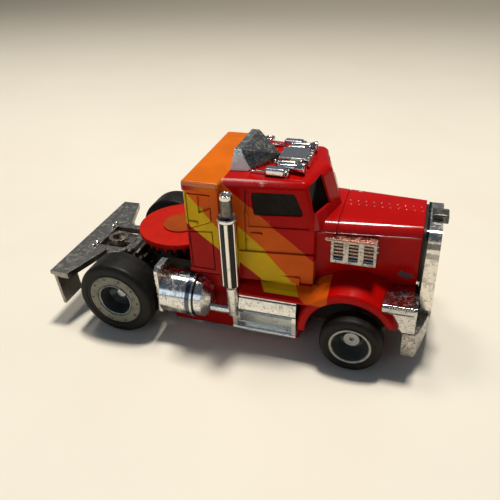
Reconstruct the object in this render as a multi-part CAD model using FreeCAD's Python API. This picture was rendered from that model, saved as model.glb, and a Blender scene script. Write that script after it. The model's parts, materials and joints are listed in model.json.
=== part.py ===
import FreeCAD, Part
import math
import os

os.makedirs("parts", exist_ok=True)

V = FreeCAD.Vector
EX = V(1, 0, 0)
EY = V(0, 1, 0)
EZ = V(0, 0, 1)

# Driving sizes of a toy truck tractor, in mm. While it is drawn, x is 0 at the rear axle
# and grows to the front, y is 0 on the centre line and z is 0 on the ground. What is
# called right is drawn at y below 0, and its left twin is its mirror image.
wheelbase = 38.1
running_clearance = 0.05
seat_gap = 0.05
reach = 70.0

# Rear wheels
rear_tyre_r = 6.5
rear_rim_r = 4.52
rear_face_y = 14.2
rear_tyre_width = 5.0
rear_dish_r = 2.65
rear_dish_depth = 3.0
rear_hub_r = 1.0

# Front wheels
front_tyre_r = 4.7
front_rim_r = 3.16
front_face_y = 13.4
front_tyre_width = 3.2
front_dish_r = 2.5
front_dish_depth = 2.0
front_hub_r = 1.1

# What both wheels share
tyre_shoulder = 0.55
hub_rise = 0.8
axle_r = 0.75
rear_z = rear_tyre_r
front_z = front_tyre_r

# Gear train: axle gear, idler, crown gear and motor pinion, all of one module
gear_module = 0.45
axle_gear_teeth = 21
idler_teeth = 12
crown_teeth = 28
motor_pinion_teeth = 12
tooth_share = 0.40
addendum = 0.80 * gear_module
dedendum = 1.10 * gear_module
pressure_angle = math.radians(20)
gear_width = 1.3
crown_x = 6.55
crown_disc_thick = 0.8
crown_disc_r = 7.28
crown_boss_r = 3.15
crown_boss_high = 0.25
crown_hub_r = 2.6
shaft_r = 0.6
axle_gear_hub_r = 2.2
axle_gear_hub_long = 0.9

# Motor
motor_gap = 2.5
motor_long = 14.0
motor_half = 5.0
motor_half_high = 4.2
motor_round = 1.5

# Chassis
chassis_half = 5.2
chassis_nose_half = 4.0
chassis_wall = 0.8
chassis_bottom = 1.6
chassis_floor = 1.0
chassis_back = -3.8
chassis_overhang = 5.4
rail_top = 11.6
rail_rear_top = 8.4
rail_low_top = 4.2
rail_nose_top = 5.85
bearing_thick = 0.7

# Body shell
wall = 1.0
sill_z = 11.4
roof_top = 27.35
relief = 0.15
groove = 0.2

# Sleeper
sleeper_back = 12.28
sleeper_front = 17.75
sleeper_half = 10.1
sleeper_low = 11.9
split_z = 19.4
split_rise = 1.65
slab_lip = 0.2
slab_low = 25.9
slab_top = 27.4
corner_round = 0.5

# Cab, whose straight walls taper to the front
cab_datum_x = 21.0
cab_half = 9.3
cab_front = 31.5
cab_taper = 0.113
cab_lean = 0.129
belt_z = 20.4
screen_x = cab_front + 1.8
screen_z = 23.2
screen_sweep = 0.27
screen_lean = 0.30
pillar_round = 1.4
roof_round = 1.2
cap_low = 26.2
door_back = 21.5
flare_top = 16.4
flare_back = 19.7
flare_out = 0.3
notch_spare = 0.9

# Hood
hood_overhang = 8.1
hood_front = wheelbase + hood_overhang
hood_half_back = 6.84
hood_half_front = 5.24
hood_start = cab_front + 0.5
hood_top = 21.25
hood_fall = 0.04
hood_round = 1.6
hood_seam_x = 34.4
bead_z = 19.6
bead_out = 0.12
hood_low = 6.4

# Front fenders
arch_x = wheelbase - 0.8
arch_z = 4.6
arch_r = 6.45
fender_r = 7.7
fender_rise = 1.7
fender_half = 11.4
fender_root = 4.5
fender_end_z = 7.6
fender_edge = 0.3

# Skirts, running boards and steps
skirt_half = 9.0
skirt_thick = 0.7
skirt_back = 8.0
skirt_bottom = 0.9
board_edge_z = 9.5
step_front = arch_x - fender_r - 0.1
step_back = 19.3
step_low = 2.87
step_out = 11.5
step_end = 0.7

# Stacks
stack_x = sleeper_front + 1.7
stack_y = -11.24
muffler_r = 1.44
pipe_r = 0.88
pipe_wall = 0.25
pipe_open = 1.5
elbow_r = 0.75
elbow_rise = 0.8
foot_r = 0.9
stack_top = 27.1
muffler_top = 23.2
muffler_low = 11.4
stack_foot = 5.5

# Front trim
surround_gap = 0.5
surround_thick = 2.0
surround_half = 5.5
surround_top = hood_top - 0.5
surround_frame = 0.9
cap_half = 1.2
cap_top = surround_top + 0.75
cap_overhang = 0.75
bumper_low = 2.4
bumper_high = 6.5
bumper_half = 10.5
bumper_thick = 1.1
shelf_half = 4.9
shelf_high = 7.5
lamp_top = 11.5
lamp_low = 10.3
lamp_half = 11.4
lamp_long = 4.5
lamp_r = 0.85
lamp_sides = 12

# Air cleaners
cleaner_back = cab_front + 2.3
cleaner_long = 6.5
cleaner_low = 15.4
cleaner_high = 19.4
cleaner_out = 7.75

# Tail
bar_back = -12.43
bar_front = -9.1
bar_nose = -6.6
bar_half = 12.95
bar_top = 9.51
bar_thick = 1.07
hitch_x = -6.6
hitch_hole_r = 1.1
hitch_ring_r = 1.8
hitch_top = 9.6
hitch_half = 4.6


def box(x0, x1, y0, y1, z0, z1):
    return Part.makeBox(x1 - x0, y1 - y0, z1 - z0, V(x0, y0, z0))


def bar_x(radius, y, z, x0, x1):
    return Part.makeCylinder(radius, x1 - x0, V(x0, y, z), EX)


def bar_y(radius, x, z, y0, y1):
    return Part.makeCylinder(radius, y1 - y0, V(x, y0, z), EY)


def bar_z(radius, x, y, z0, z1):
    return Part.makeCylinder(radius, z1 - z0, V(x, y, z0), EZ)


def closed(points):
    return Part.makePolygon(points + [points[0]])


def prism(points, sweep):
    """A solid swept from a closed outline along a vector."""
    return Part.Face(closed(points)).extrude(sweep)


def side_prism(outline, y0, y1):
    """A prism from an outline of (x, z) points, between two y planes."""
    return prism([V(x, y0, z) for x, z in outline], V(0, y1 - y0, 0))


def plan_prism(outline, z0, z1):
    """A prism from an outline of (x, y) points, between two heights."""
    return prism([V(x, y, z0) for x, y in outline], V(0, 0, z1 - z0))


def front_prism(outline, x0, x1):
    """A prism from an outline of (y, z) points, between two x planes."""
    return prism([V(x0, y, z) for y, z in outline], V(x1 - x0, 0, 0))


def mirrored(shape):
    return shape.mirror(V(0, 0, 0), EY)


def both_sides(shape):
    """The shape with its mirror image on the other side of the centre line."""
    return shape.fuse(mirrored(shape))


def turned(profile, origin, axis):
    """A solid turned from an outline of (distance along the axis, radius) points."""
    across = EZ if abs(axis.z) < 0.5 else EX
    points = [origin + axis * along + across * radius for along, radius in profile]
    return Part.Face(closed(points)).revolve(origin, axis, 360)


def loft(rings):
    """A solid with straight sides between two rings."""
    return Part.makeLoft(rings, True, True)


def ring_at(x, y, z, radius, sides):
    """A many-sided ring in a plane across the truck."""
    turn = 2 * math.pi / sides
    return closed([V(x, y + radius * math.cos(turn * (k + 0.5)), z + radius * math.sin(turn * (k + 0.5)))
                   for k in range(sides)])


def direction(x, y, z):
    vector = V(x, y, z)
    vector.normalize()
    return vector


def beyond(point, normal):
    """All that lies past a plane, on the side that its normal points to."""
    return Part.makeCylinder(reach, reach, point, normal)


def trimmed(solid, planes):
    """The solid without what lies beyond any of the planes."""
    for point, normal in planes:
        solid = solid.cut(beyond(point, normal))
    return solid


def edges_along(solid, axis, test):
    """The straight edges that run nearly along an axis and pass a test of their middle."""
    found = []
    for edge in solid.Edges:
        start = edge.Vertexes[0].Point
        end = edge.Vertexes[-1].Point
        run = end - start
        if run.Length > 1e-6 and abs(run.dot(axis)) > 0.9 * run.Length and test(edge.CenterOfMass):
            found.append(edge)
    return found


def solid_of(points, faces):
    """A closed solid with flat faces, each given by the numbers of its corners."""
    shell = Part.makeShell([Part.Face(closed([points[i] for i in face])) for face in faces])
    return Part.makeSolid(shell)


# Wheels


def tyre(radius, bore, face_y, width, centre):
    """A slick tyre with an eased outer shoulder, whose outer face lies at face_y."""
    return turned([
        (face_y - width, bore),
        (face_y - width, radius),
        (face_y - tyre_shoulder, radius),
        (face_y, radius - tyre_shoulder),
        (face_y, bore),
    ], centre, EY)


def rim(radius, dish, hub, depth, face_y, width, centre):
    """A wheel that fills its tyre's bore: a flat ring, a deep dish and a hub in it."""
    floor_y = face_y - depth
    return turned([
        (face_y - width, axle_r),
        (face_y - width, radius),
        (face_y, radius),
        (face_y, dish),
        (floor_y, dish),
        (floor_y, hub),
        (floor_y + hub_rise, hub),
        (floor_y + hub_rise, axle_r),
    ], centre, EY)


rear_centre = V(0, 0, rear_z)
front_centre = V(wheelbase, 0, front_z)
rear_tyre = tyre(rear_tyre_r, rear_rim_r, rear_face_y, rear_tyre_width, rear_centre)
front_tyre = tyre(front_tyre_r, front_rim_r, front_face_y, front_tyre_width, front_centre)
rear_rim = rim(rear_rim_r, rear_dish_r, rear_hub_r, rear_dish_depth, rear_face_y,
               rear_tyre_width, rear_centre)
front_rim = rim(front_rim_r, front_dish_r, front_hub_r, front_dish_depth, front_face_y,
                front_tyre_width, front_centre)
rear_rod_half = rear_face_y - rear_dish_depth + hub_rise
front_rod_half = front_face_y - front_dish_depth + hub_rise
rear_axle_rod = bar_y(axle_r, 0, rear_z, -rear_rod_half, rear_rod_half)
front_axle_rod = bar_y(axle_r, wheelbase, front_z, -front_rod_half, front_rod_half)


# Gears


def pitch_r(teeth):
    return gear_module * teeth / 2


def half_tooth(teeth, radius):
    """Half the angle that a tooth fills at a radius, from the involute's formula."""
    pitch = pitch_r(teeth)
    base = pitch * math.cos(pressure_angle)

    def roll(r):
        if r <= base:
            return 0.0
        angle = math.acos(base / r)
        return math.tan(angle) - angle

    return tooth_share * math.pi / teeth + roll(pitch) - roll(radius)


def gear_outline(teeth, phase):
    """Points round a spur gear, with one tooth's middle at the phase angle."""
    pitch = pitch_r(teeth)
    flank = [(r, half_tooth(teeth, r)) for r in (pitch - dedendum, pitch, pitch + addendum)]
    points = []
    for k in range(teeth):
        middle = phase + 2 * math.pi * k / teeth
        points += [(r, middle - half) for r, half in flank]
        points += [(r, middle + half) for r, half in reversed(flank)]
    return points


def spur_gear(teeth, phase, centre, along, across, up, width):
    """A spur gear. Its angles run from across towards up, and it lies along its axis."""
    points = [centre + across * (r * math.cos(angle)) + up * (r * math.sin(angle))
              for r, angle in gear_outline(teeth, phase)]
    return prism(points, along * width)


idler_distance = pitch_r(axle_gear_teeth) + pitch_r(idler_teeth)
idler_z = rear_z + math.sqrt(idler_distance ** 2 - crown_x ** 2)
mesh_angle = math.atan2(idler_z - rear_z, crown_x)
mesh_z = idler_z + pitch_r(idler_teeth)
crown_r = pitch_r(crown_teeth)
gear_y = -crown_r - gear_width / 2
hub_end_y = gear_y - axle_gear_hub_long

# The idler has a tooth gap straight up, where a tooth of the crown gear hangs into it.
idler_phase = math.pi / 2 + math.pi / idler_teeth
# The axle gear has a tooth towards the idler where the idler has a gap.
towards_axle = mesh_angle + math.pi
steps = (towards_axle - idler_phase) / (2 * math.pi / idler_teeth)
offset_share = steps - math.floor(steps)
axle_gear_phase = mesh_angle + (0.5 + offset_share) * 2 * math.pi / axle_gear_teeth

axle_gear = spur_gear(axle_gear_teeth, axle_gear_phase, V(0, gear_y, rear_z), EY, EX, EZ, gear_width)
axle_gear = axle_gear.fuse(bar_y(axle_gear_hub_r, 0, rear_z, hub_end_y, gear_y)).cut(rear_axle_rod)

idler_shaft_end = -(chassis_half - chassis_wall) + 0.2
idler_pinion = spur_gear(idler_teeth, idler_phase, V(crown_x, gear_y, idler_z), EY, EX, EZ, gear_width)
idler_pinion = idler_pinion.fuse(bar_y(shaft_r, crown_x, idler_z, hub_end_y, idler_shaft_end))

crown_root_z = mesh_z + dedendum
crown_tip_z = mesh_z - addendum
crown_top_z = crown_root_z + crown_disc_thick
plate_thick = 0.45
plate_back_long = 3.75
plate_front_long = 4.65
plate_top = rail_top + plate_thick


def crown_gear_solid():
    """A disc with a boss, a shaft and radial teeth that hang from its rim."""
    body = turned([
        (chassis_bottom + chassis_floor, 0),
        (chassis_bottom + chassis_floor, shaft_r),
        (plate_top + seat_gap, shaft_r),
        (plate_top + seat_gap, crown_hub_r),
        (crown_root_z, crown_hub_r),
        (crown_root_z, crown_disc_r),
        (crown_top_z, crown_disc_r),
        (crown_top_z, crown_boss_r),
        (crown_top_z + crown_boss_high, crown_boss_r),
        (crown_top_z + crown_boss_high, 0),
    ], V(crown_x, 0, 0), EZ)
    half_pitch_plane = tooth_share * math.pi * gear_module / 2
    slope = math.tan(pressure_angle)
    half_root = half_pitch_plane + dedendum * slope
    half_tip = half_pitch_plane - addendum * slope
    tooth_long = gear_width + 2 * running_clearance
    inner = crown_r - tooth_long / 2
    teeth = []
    for k in range(crown_teeth):
        angle = -math.pi / 2 + 2 * math.pi * k / crown_teeth
        radial = V(math.cos(angle), math.sin(angle), 0)
        side = V(-math.sin(angle), math.cos(angle), 0)
        at = V(crown_x, 0, 0) + radial * inner
        teeth.append(prism([
            at + side * half_root + EZ * crown_root_z,
            at - side * half_root + EZ * crown_root_z,
            at - side * half_tip + EZ * crown_tip_z,
            at + side * half_tip + EZ * crown_tip_z,
        ], radial * tooth_long))
    return body.fuse(teeth)


crown_gear = crown_gear_solid()

# The motor's pinion meets the crown gear at its front, with a gap straight up.
pinion_x = crown_x + crown_r - gear_width / 2
motor_pinion_phase = math.pi / 2 + math.pi / motor_pinion_teeth
crown_front_share = 0.25 * crown_teeth - math.floor(0.25 * crown_teeth)
motor_pinion_phase += crown_front_share * 2 * math.pi / motor_pinion_teeth
motor_z = mesh_z - pitch_r(motor_pinion_teeth)
motor_back = pinion_x + gear_width + motor_gap
motor_front = motor_back + motor_long
shaft_in = 0.9
motor_pinion = spur_gear(motor_pinion_teeth, motor_pinion_phase, V(pinion_x, 0, motor_z),
                         EX, EY, EZ, gear_width)
motor_pinion = motor_pinion.fuse(bar_x(shaft_r, 0, motor_z, pinion_x, motor_back + shaft_in))


def motor_solid():
    can = box(motor_back, motor_front, -motor_half, motor_half,
              motor_z - motor_half_high, motor_z + motor_half_high)
    can = can.makeFillet(motor_round, edges_along(can, EX, lambda middle: True))
    socket = bar_x(shaft_r + running_clearance, 0, motor_z, motor_back,
                   motor_back + shaft_in + running_clearance)
    return can.cut(socket)


motor = motor_solid()


# Chassis

nose_back = motor_front + 0.5
chassis_front = wheelbase + chassis_overhang


def chassis_solid():
    """A pan with two rails that carry both axles, the idler and the gear plate."""
    outline = [
        (chassis_back, chassis_bottom + 2.0),
        (chassis_back + 2.5, chassis_bottom),
        (chassis_front - 1.5, chassis_bottom),
        (chassis_front, chassis_bottom + 1.5),
        (chassis_front, rail_nose_top),
        (wheelbase - 3.5, rail_nose_top),
        (wheelbase - 6.5, rail_low_top),
        (crown_x + 9.0, rail_low_top),
        (crown_x + 6.0, rear_z + 0.5),
        (crown_x + plate_front_long + 0.2, rail_top),
        (crown_x - plate_back_long - 0.2, rail_top),
        (crown_x - 6.35, rail_rear_top),
        (chassis_back, rail_rear_top),
    ]
    floor_z = chassis_bottom + chassis_floor
    solid = side_prism(outline, -chassis_half, chassis_half)
    solid = solid.cut(box(chassis_back + chassis_wall, chassis_front - chassis_wall,
                          -(chassis_half - chassis_wall), chassis_half - chassis_wall,
                          floor_z, reach))
    nose_side = box(nose_back, reach, -chassis_half, -chassis_nose_half, 0, reach)
    solid = solid.cut(both_sides(nose_side))
    nose_wall = side_prism(outline, -chassis_nose_half, chassis_wall - chassis_nose_half)
    nose_wall = nose_wall.common(box(nose_back - chassis_wall, reach, -chassis_half, 0, 0, reach))
    solid = solid.fuse(both_sides(nose_wall))
    for axle_x, axle_z in ((0, rear_z), (wheelbase, front_z)):
        solid = solid.cut(bar_y(axle_r + running_clearance, axle_x, axle_z, -reach, reach))
    boss_half = 2 * shaft_r
    boss = box(crown_x - boss_half, crown_x + boss_half, -chassis_half, idler_shaft_end,
               idler_z - boss_half, idler_z + boss_half)
    solid = solid.fuse(boss)
    solid = solid.cut(bar_y(shaft_r + running_clearance, crown_x, idler_z, -chassis_half,
                            idler_shaft_end + running_clearance))
    foot = box(crown_x - boss_half, crown_x + boss_half, -boss_half, boss_half, chassis_bottom,
               floor_z + 1.5)
    solid = solid.fuse(foot)
    solid = solid.cut(bar_z(shaft_r + running_clearance, crown_x, 0,
                            floor_z - running_clearance, floor_z + 2.0))
    tab_half = skirt_half - skirt_thick - seat_gap
    for tab_x in (cab_datum_x - 2.5, cab_datum_x + 6.0):
        solid = solid.fuse(box(tab_x, tab_x + 3.0, -tab_half, tab_half, chassis_bottom, floor_z))
    cradle = box(motor_back + 1.0, motor_front - 1.0, -(chassis_half - chassis_wall),
                 chassis_half - chassis_wall, chassis_bottom, motor_z - motor_half_high)
    return solid.fuse(cradle).removeSplitter()


chassis = chassis_solid()

gear_plate = box(crown_x - plate_back_long, crown_x + plate_front_long, -chassis_half, chassis_half,
                 rail_top, plate_top)
gear_plate = gear_plate.cut(bar_z(shaft_r + running_clearance, crown_x, 0, 0, reach))

bearing_out = gear_y - 2 * running_clearance - bearing_thick


def idler_bearing_solid():
    """The bracket that holds the idler's outer end, on a foot that reaches to the rail."""
    back = crown_x - 2 * shaft_r
    front = crown_x + 2.5
    foot_z = rail_low_top - 0.2
    face = side_prism([
        (back, foot_z), (front, foot_z), (front, idler_z + 0.8), (back, idler_z + 0.8)],
        bearing_out, bearing_out + bearing_thick)
    foot = box(back, front, bearing_out, -chassis_half, foot_z, foot_z + bearing_thick)
    bore = bar_y(shaft_r + running_clearance, crown_x, idler_z, -reach, 0)
    return face.fuse(foot).cut(bore)


idler_bearing = idler_bearing_solid()


# Body shell


def cab_side_planes(grow, side):
    """The lower wall, the leaning upper wall and the windscreen of one side."""
    lower = direction(cab_taper, side, 0)
    upper = direction(cab_taper, side, cab_lean)
    screen = direction(1, side * screen_sweep, screen_lean)
    waist = V(cab_datum_x, side * cab_half, belt_z)
    return {
        "lower": (waist + lower * grow, lower),
        "upper": (waist + upper * grow, upper),
        "screen": (V(screen_x, 0, screen_z) + screen * grow, screen),
    }


def cab_block(grow, low, high):
    """The cab between two heights, with its walls moved out by grow."""
    block = box(sleeper_front - 0.2, hood_front, -sleeper_half, sleeper_half, low, high)
    for side in (-1, 1):
        block = trimmed(block, cab_side_planes(grow, side).values())
    if low < belt_z:
        block = block.cut(box(cab_front + grow, reach, -reach, reach, 0, belt_z))
    return block


def rounded_cab():
    """The cab's outside with rounded pillars and a rounded roof edge."""
    lower = cab_block(0, sill_z, belt_z)
    lower = lower.makeFillet(corner_round, edges_along(
        lower, EZ, lambda middle: middle.x > cab_front - 0.1))
    upper = cab_block(0, belt_z, roof_top)
    upper = upper.makeFillet(pillar_round, edges_along(
        upper, EZ, lambda middle: middle.x > cab_front - 3.0 and abs(middle.y) > 3.0))
    rim_edges = [edge for edge in upper.Edges
                 if abs(edge.BoundBox.ZMin - roof_top) < 1e-4
                 and edge.CenterOfMass.x > sleeper_front + 0.1]
    upper = upper.makeFillet(roof_round, rim_edges)
    return lower.fuse(upper)


def sleeper_outside():
    block = box(sleeper_back, sleeper_front, -sleeper_half, sleeper_half, sleeper_low,
                slab_low + 0.1)
    block = block.makeFillet(corner_round, edges_along(
        block, EZ, lambda middle: middle.x < sleeper_back + 1.0))
    slab_half = sleeper_half + slab_lip
    slab = box(sleeper_back - slab_lip / 2, sleeper_front + slab_lip, -slab_half, slab_half,
               slab_low, slab_top)
    rim_edges = [edge for edge in slab.Edges if edge.CenterOfMass.z > slab_top - 1e-4]
    uprights = edges_along(slab, EZ, lambda middle: True)
    slab = slab.makeFillet(corner_round, rim_edges + uprights)
    return block.fuse(slab)


def hood_half_at(x):
    taper = (hood_half_back - hood_half_front) / (hood_front - hood_start)
    return hood_half_back - taper * (x - hood_start)


def hood_block(grow, x0, x1, low):
    """The tapering hood between two x planes, with its walls moved out by grow."""
    taper = (hood_half_back - hood_half_front) / (hood_front - hood_start)
    block = box(x0, x1, -sleeper_half, sleeper_half, low, hood_top + grow + 1.0)
    for side in (-1, 1):
        flank = direction(taper, side, 0)
        top = direction(0, side * hood_fall, 1)
        block = trimmed(block, [
            (V(hood_start, side * hood_half_back, 0) + flank * grow, flank),
            (V(hood_start, 0, hood_top) + top * grow, top)])
    return block


def rounded_hood(grow, x0, x1, low):
    block = hood_block(grow, x0, x1, low)
    shoulders = edges_along(block, EX, lambda middle: middle.z > hood_top - 1.0 and abs(middle.y) > 3.0)
    return block.makeFillet(hood_round + grow, shoulders)


def bead_solid():
    """The thin raised line along the right side of the hood."""
    x0 = cab_front
    x1 = hood_front - seat_gap
    inside = 0.3
    outline = [
        (x0, -hood_half_at(x0) + inside), (x0, -hood_half_at(x0) - bead_out),
        (x1, -hood_half_at(x1) - bead_out), (x1, -hood_half_at(x1) + inside)]
    return plan_prism(outline, bead_z - bead_out, bead_z + bead_out)


def fender_solid():
    """One front fender, a flared cone over the wheel with an eased outer edge."""
    flare = Part.makeCone(fender_r + fender_rise, fender_r, fender_half - fender_edge - fender_root,
                          V(arch_x, -fender_root, arch_z), V(0, -1, 0))
    edge = Part.makeCone(fender_r, fender_r - fender_edge, fender_edge,
                         V(arch_x, -(fender_half - fender_edge), arch_z), V(0, -1, 0))
    fender = flare.fuse(edge)
    front_x = arch_x + fender_r - 0.4
    rear_keep = box(step_front + seat_gap, arch_x, -fender_half, -fender_root, arch_z, reach)
    front_keep = box(arch_x, front_x, -fender_half, -fender_root, fender_end_z, reach)
    return fender.common(rear_keep.fuse(front_keep))


def board_solid():
    """The running board, bent down from the door's foot to above the steps."""
    inner = -(skirt_half - 0.6)
    board = front_prism([
        (inner, sill_z),
        (-(skirt_half + 1.2), sill_z - 0.6),
        (-(step_out - 0.15), board_edge_z + 0.4),
        (-(step_out - 0.15), board_edge_z),
        (inner, board_edge_z),
    ], flare_back, arch_x - 3.5)
    arch = bar_y(fender_r - 0.3, arch_x, arch_z, -reach, 0)
    return board.cut(arch).cut(bar_z(foot_r + 0.1, stack_x, stack_y, 0, reach))


def surface_tool(outline, side_plane, depth):
    """What lies in a side outline, from a depth below the right wall's plane outwards."""
    point, normal = side_plane
    block = side_prism(outline, -sleeper_half - 2.0, -4.0)
    return block.common(beyond(point - normal * depth, normal))


def frame_tool(outline, inner, side_plane, depth):
    """A groove round an outline, cut to a depth below the right wall's plane."""
    ring = side_prism(outline, -sleeper_half - 2.0, -4.0)
    ring = ring.cut(side_prism(inner, -sleeper_half - 3.0, -3.0))
    point, normal = side_plane
    return ring.common(beyond(point - normal * depth, normal))


# The side window's corners, from its upper rear one round to its upper front one.
window = [(22.15, 25.7), (22.6, 22.3), (29.9, 22.45), (28.4, 25.7)]
window_round = 0.45
# One windscreen pane's corners on the right, as (y, z) from its outer foot.
pane = [(-7.5, 22.8), (-2.9, 22.6), (-3.0, 27.0), (-7.05, 26.7)]


def window_tool(shrink):
    block = side_prism(window, -12.0, -4.0)
    block = block.makeFillet(window_round, edges_along(block, EY, lambda middle: True))
    if shrink:
        middle = V((window[0][0] + window[2][0]) / 2, 0, (window[0][1] + window[2][1]) / 2)
        across = window[2][0] - window[0][0]
        scale = 1 - 2 * shrink / across
        block.scale(scale, middle)
    return block


def pane_tool(shrink):
    middle_y = sum(y for y, z in pane) / len(pane)
    middle_z = sum(z for y, z in pane) / len(pane)
    outline = []
    for y, z in pane:
        outline.append((y - math.copysign(shrink, y - middle_y), z - math.copysign(shrink, z - middle_z)))
    return front_prism(outline, cab_front - 4.0, screen_x + 1.0)


def cab_relief():
    """The grooves and sunk frames of the right side, as one tool."""
    planes = cab_side_planes(0, -1)
    door_frame = [(door_back + 0.4, cap_low - 0.15), (door_back + 0.4, belt_z + 0.15),
                  (cab_front - 0.75, belt_z + 0.15), (cab_front - 2.3, cap_low - 0.15)]
    seam = [(door_back - groove, sill_z), (door_back, sill_z), (door_back, cap_low),
            (door_back - groove, cap_low)]
    tools = [
        surface_tool(door_frame, planes["upper"], relief),
        surface_tool(seam, planes["upper"], relief).common(box(0, reach, -reach, 0, belt_z, reach)),
        surface_tool(seam, planes["lower"], relief).common(box(0, reach, -reach, 0, flare_top, belt_z)),
    ]
    return tools[0].fuse(tools[1:])


def sleeper_relief():
    """The sleeper's right side: a framed panel, a sunk window and a lower panel."""
    plane = (V(0, -sleeper_half, 0), V(0, -1, 0))
    back = sleeper_back + 0.46
    front = sleeper_front - 1.15
    port_back = front - 2.0
    top = slab_low - 0.4
    hatch_low = sleeper_low + 0.7
    upper = [(back, top), (back, split_z), (front, split_z + split_rise), (front, top)]
    upper_in = [(back + groove, top - groove), (back + groove, split_z + groove),
                (front - groove, split_z + split_rise), (front - groove, top - groove)]
    port = [(port_back, top - 2 * groove), (port_back, split_z + 2.9),
            (front - groove, split_z + 3.8), (front - groove, top - 2 * groove)]
    lower = [(back, split_z - groove), (back, hatch_low), (front, hatch_low),
             (front, split_z + groove)]
    lower_in = [(back + groove, split_z - 0.5), (back + groove, hatch_low + groove),
                (front - groove, hatch_low + groove), (front - groove, split_z - 0.1)]
    tools = [
        frame_tool(upper, upper_in, plane, relief),
        surface_tool(port, plane, 2 * relief),
        frame_tool(lower, lower_in, plane, relief),
    ]
    return tools[0].fuse(tools[1:])


handle_out = 0.25
handle_root = 0.3
door_handle_back = door_back + 0.7
door_handle_long = 1.7
door_handle_z = 19.25
door_handle_high = 0.35
hatch_handle_back = sleeper_back + 0.75
hatch_handle_long = 1.25
hatch_handle_z = 20.4
hatch_handle_high = 0.5


def handle_solid(back, long, low, high, face_y):
    return box(back, back + long, face_y - handle_out, face_y + handle_root, low, low + high)


def flare_solid():
    """The door's lower panel, a little prouder than the wall above it."""
    lower = direction(cab_taper, -1, 0)
    point = V(cab_datum_x, -cab_half, 0) + lower * flare_out
    block = box(flare_back, cab_front - 0.05, -sleeper_half, -(skirt_half - 2.0), sill_z, flare_top)
    return trimmed(block, [(point, lower)])


def body_shell_solid():
    """The one-piece moulding of sleeper, cab, hood, fenders and boards, hollow from below."""
    shell = sleeper_outside().fuse([rounded_cab(), rounded_hood(0, cab_front - 2.0, hood_front, hood_low)])
    shelf = box(sleeper_back, sleeper_front, -sleeper_half, -(skirt_half - skirt_thick),
                sleeper_low, sleeper_low + 0.6)
    skirt = box(skirt_back, step_front, -skirt_half, -(skirt_half - skirt_thick), skirt_bottom,
                sleeper_low + 0.6)
    additions = fender_solid().fuse([board_solid(), bead_solid(), flare_solid(), skirt])
    shell = shell.fuse(both_sides(additions))
    inner_skirt = skirt_half - skirt_thick
    roof_inside = cap_low - 0.1
    cavity = box(sleeper_back + wall, sleeper_front - wall, -(sleeper_half - wall),
                 sleeper_half - wall, sleeper_low - 1.0, slab_top - wall)
    cavity = cavity.fuse([
        cab_block(-wall, sill_z - 1.0, roof_inside),
        box(sleeper_front - wall - 0.1, cab_datum_x, -(cab_half - wall), cab_half - wall,
            sill_z - 1.0, belt_z),
        box(sleeper_front - wall - 0.1, cab_datum_x, -(cab_half - 2 * wall), cab_half - 2 * wall,
            sill_z - 1.0, roof_inside),
        hood_block(-wall, cab_front - 4.0, hood_front - wall, 0),
        box(sleeper_back + wall, cab_front - wall, -inner_skirt + 0.2, inner_skirt - 0.2, 0, belt_z - wall)])
    shell = shell.cut(cavity)
    shell = shell.fuse(both_sides(shelf))
    shell = shell.cut(box(sleeper_back - 1.0, sleeper_back + wall + 0.1, -(crown_disc_r + notch_spare),
                          crown_disc_r + notch_spare, 0, crown_top_z + crown_boss_high + notch_spare))
    well = bar_y(arch_r, arch_x, arch_z, -fender_half - 1.0, -(hood_half_front - wall - 0.3))
    seam = box(hood_seam_x - groove / 2, hood_seam_x + groove / 2, -reach, reach, bead_z - 2.0, reach)
    seam = seam.common(hood_block(1.0, cab_front, hood_front, bead_z - 2.0))
    seam = seam.cut(rounded_hood(-relief, cab_front, hood_front, bead_z - 3.0))
    relief_tool = cab_relief().fuse([sleeper_relief(), window_tool(0), pane_tool(0), well])
    shell = shell.cut(both_sides(relief_tool)).cut(seam)
    handles = [
        handle_solid(door_handle_back, door_handle_long, door_handle_z, door_handle_high,
                     -cab_half + handle_out),
        handle_solid(hatch_handle_back, hatch_handle_long, hatch_handle_z, hatch_handle_high,
                     -sleeper_half),
    ]
    shell = shell.fuse(both_sides(handles[0].fuse(handles[1])))
    return shell.removeSplitter()


body_shell = body_shell_solid()

glass_sink = 0.3
glass_thick = 0.5


def glass_layer(plane):
    """The layer between two depths below a wall's plane."""
    point, normal = plane
    outer = beyond(point - normal * (glass_sink + glass_thick), normal)
    return outer.cut(beyond(point - normal * glass_sink, normal))


planes_right = cab_side_planes(0, -1)
side_glass_right = window_tool(seat_gap).common(glass_layer(planes_right["upper"]))
windscreen = both_sides(pane_tool(seat_gap).common(glass_layer(planes_right["screen"])))


# Bright trim at the front

surround_back = hood_front + surround_gap
surround_front = surround_back + surround_thick
bumper_front = surround_front + 0.32


def radiator_surround_solid():
    """A frame with rounded shoulders and an open front, that leans out at its foot."""
    outer = side_prism([
        (surround_back - 0.1, surround_top), (surround_front, surround_top),
        (surround_front + 0.2, shelf_high + seat_gap), (surround_back + 0.6, shelf_high + seat_gap),
        (surround_back - 0.1, lamp_top + 0.6)], -surround_half, surround_half)
    shoulders = edges_along(outer, EX, lambda middle: middle.z > surround_top - 0.1)
    outer = outer.makeFillet(hood_round, shoulders)
    opening_half = surround_half - surround_frame
    opening = box(surround_back + surround_frame, reach, -opening_half, opening_half,
                  shelf_high + 1.0, surround_top - 2 * surround_frame)
    return outer.cut(opening)


radiator_surround = radiator_surround_solid()


grille_bars = 9
grille_bar_half = 0.15


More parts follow.
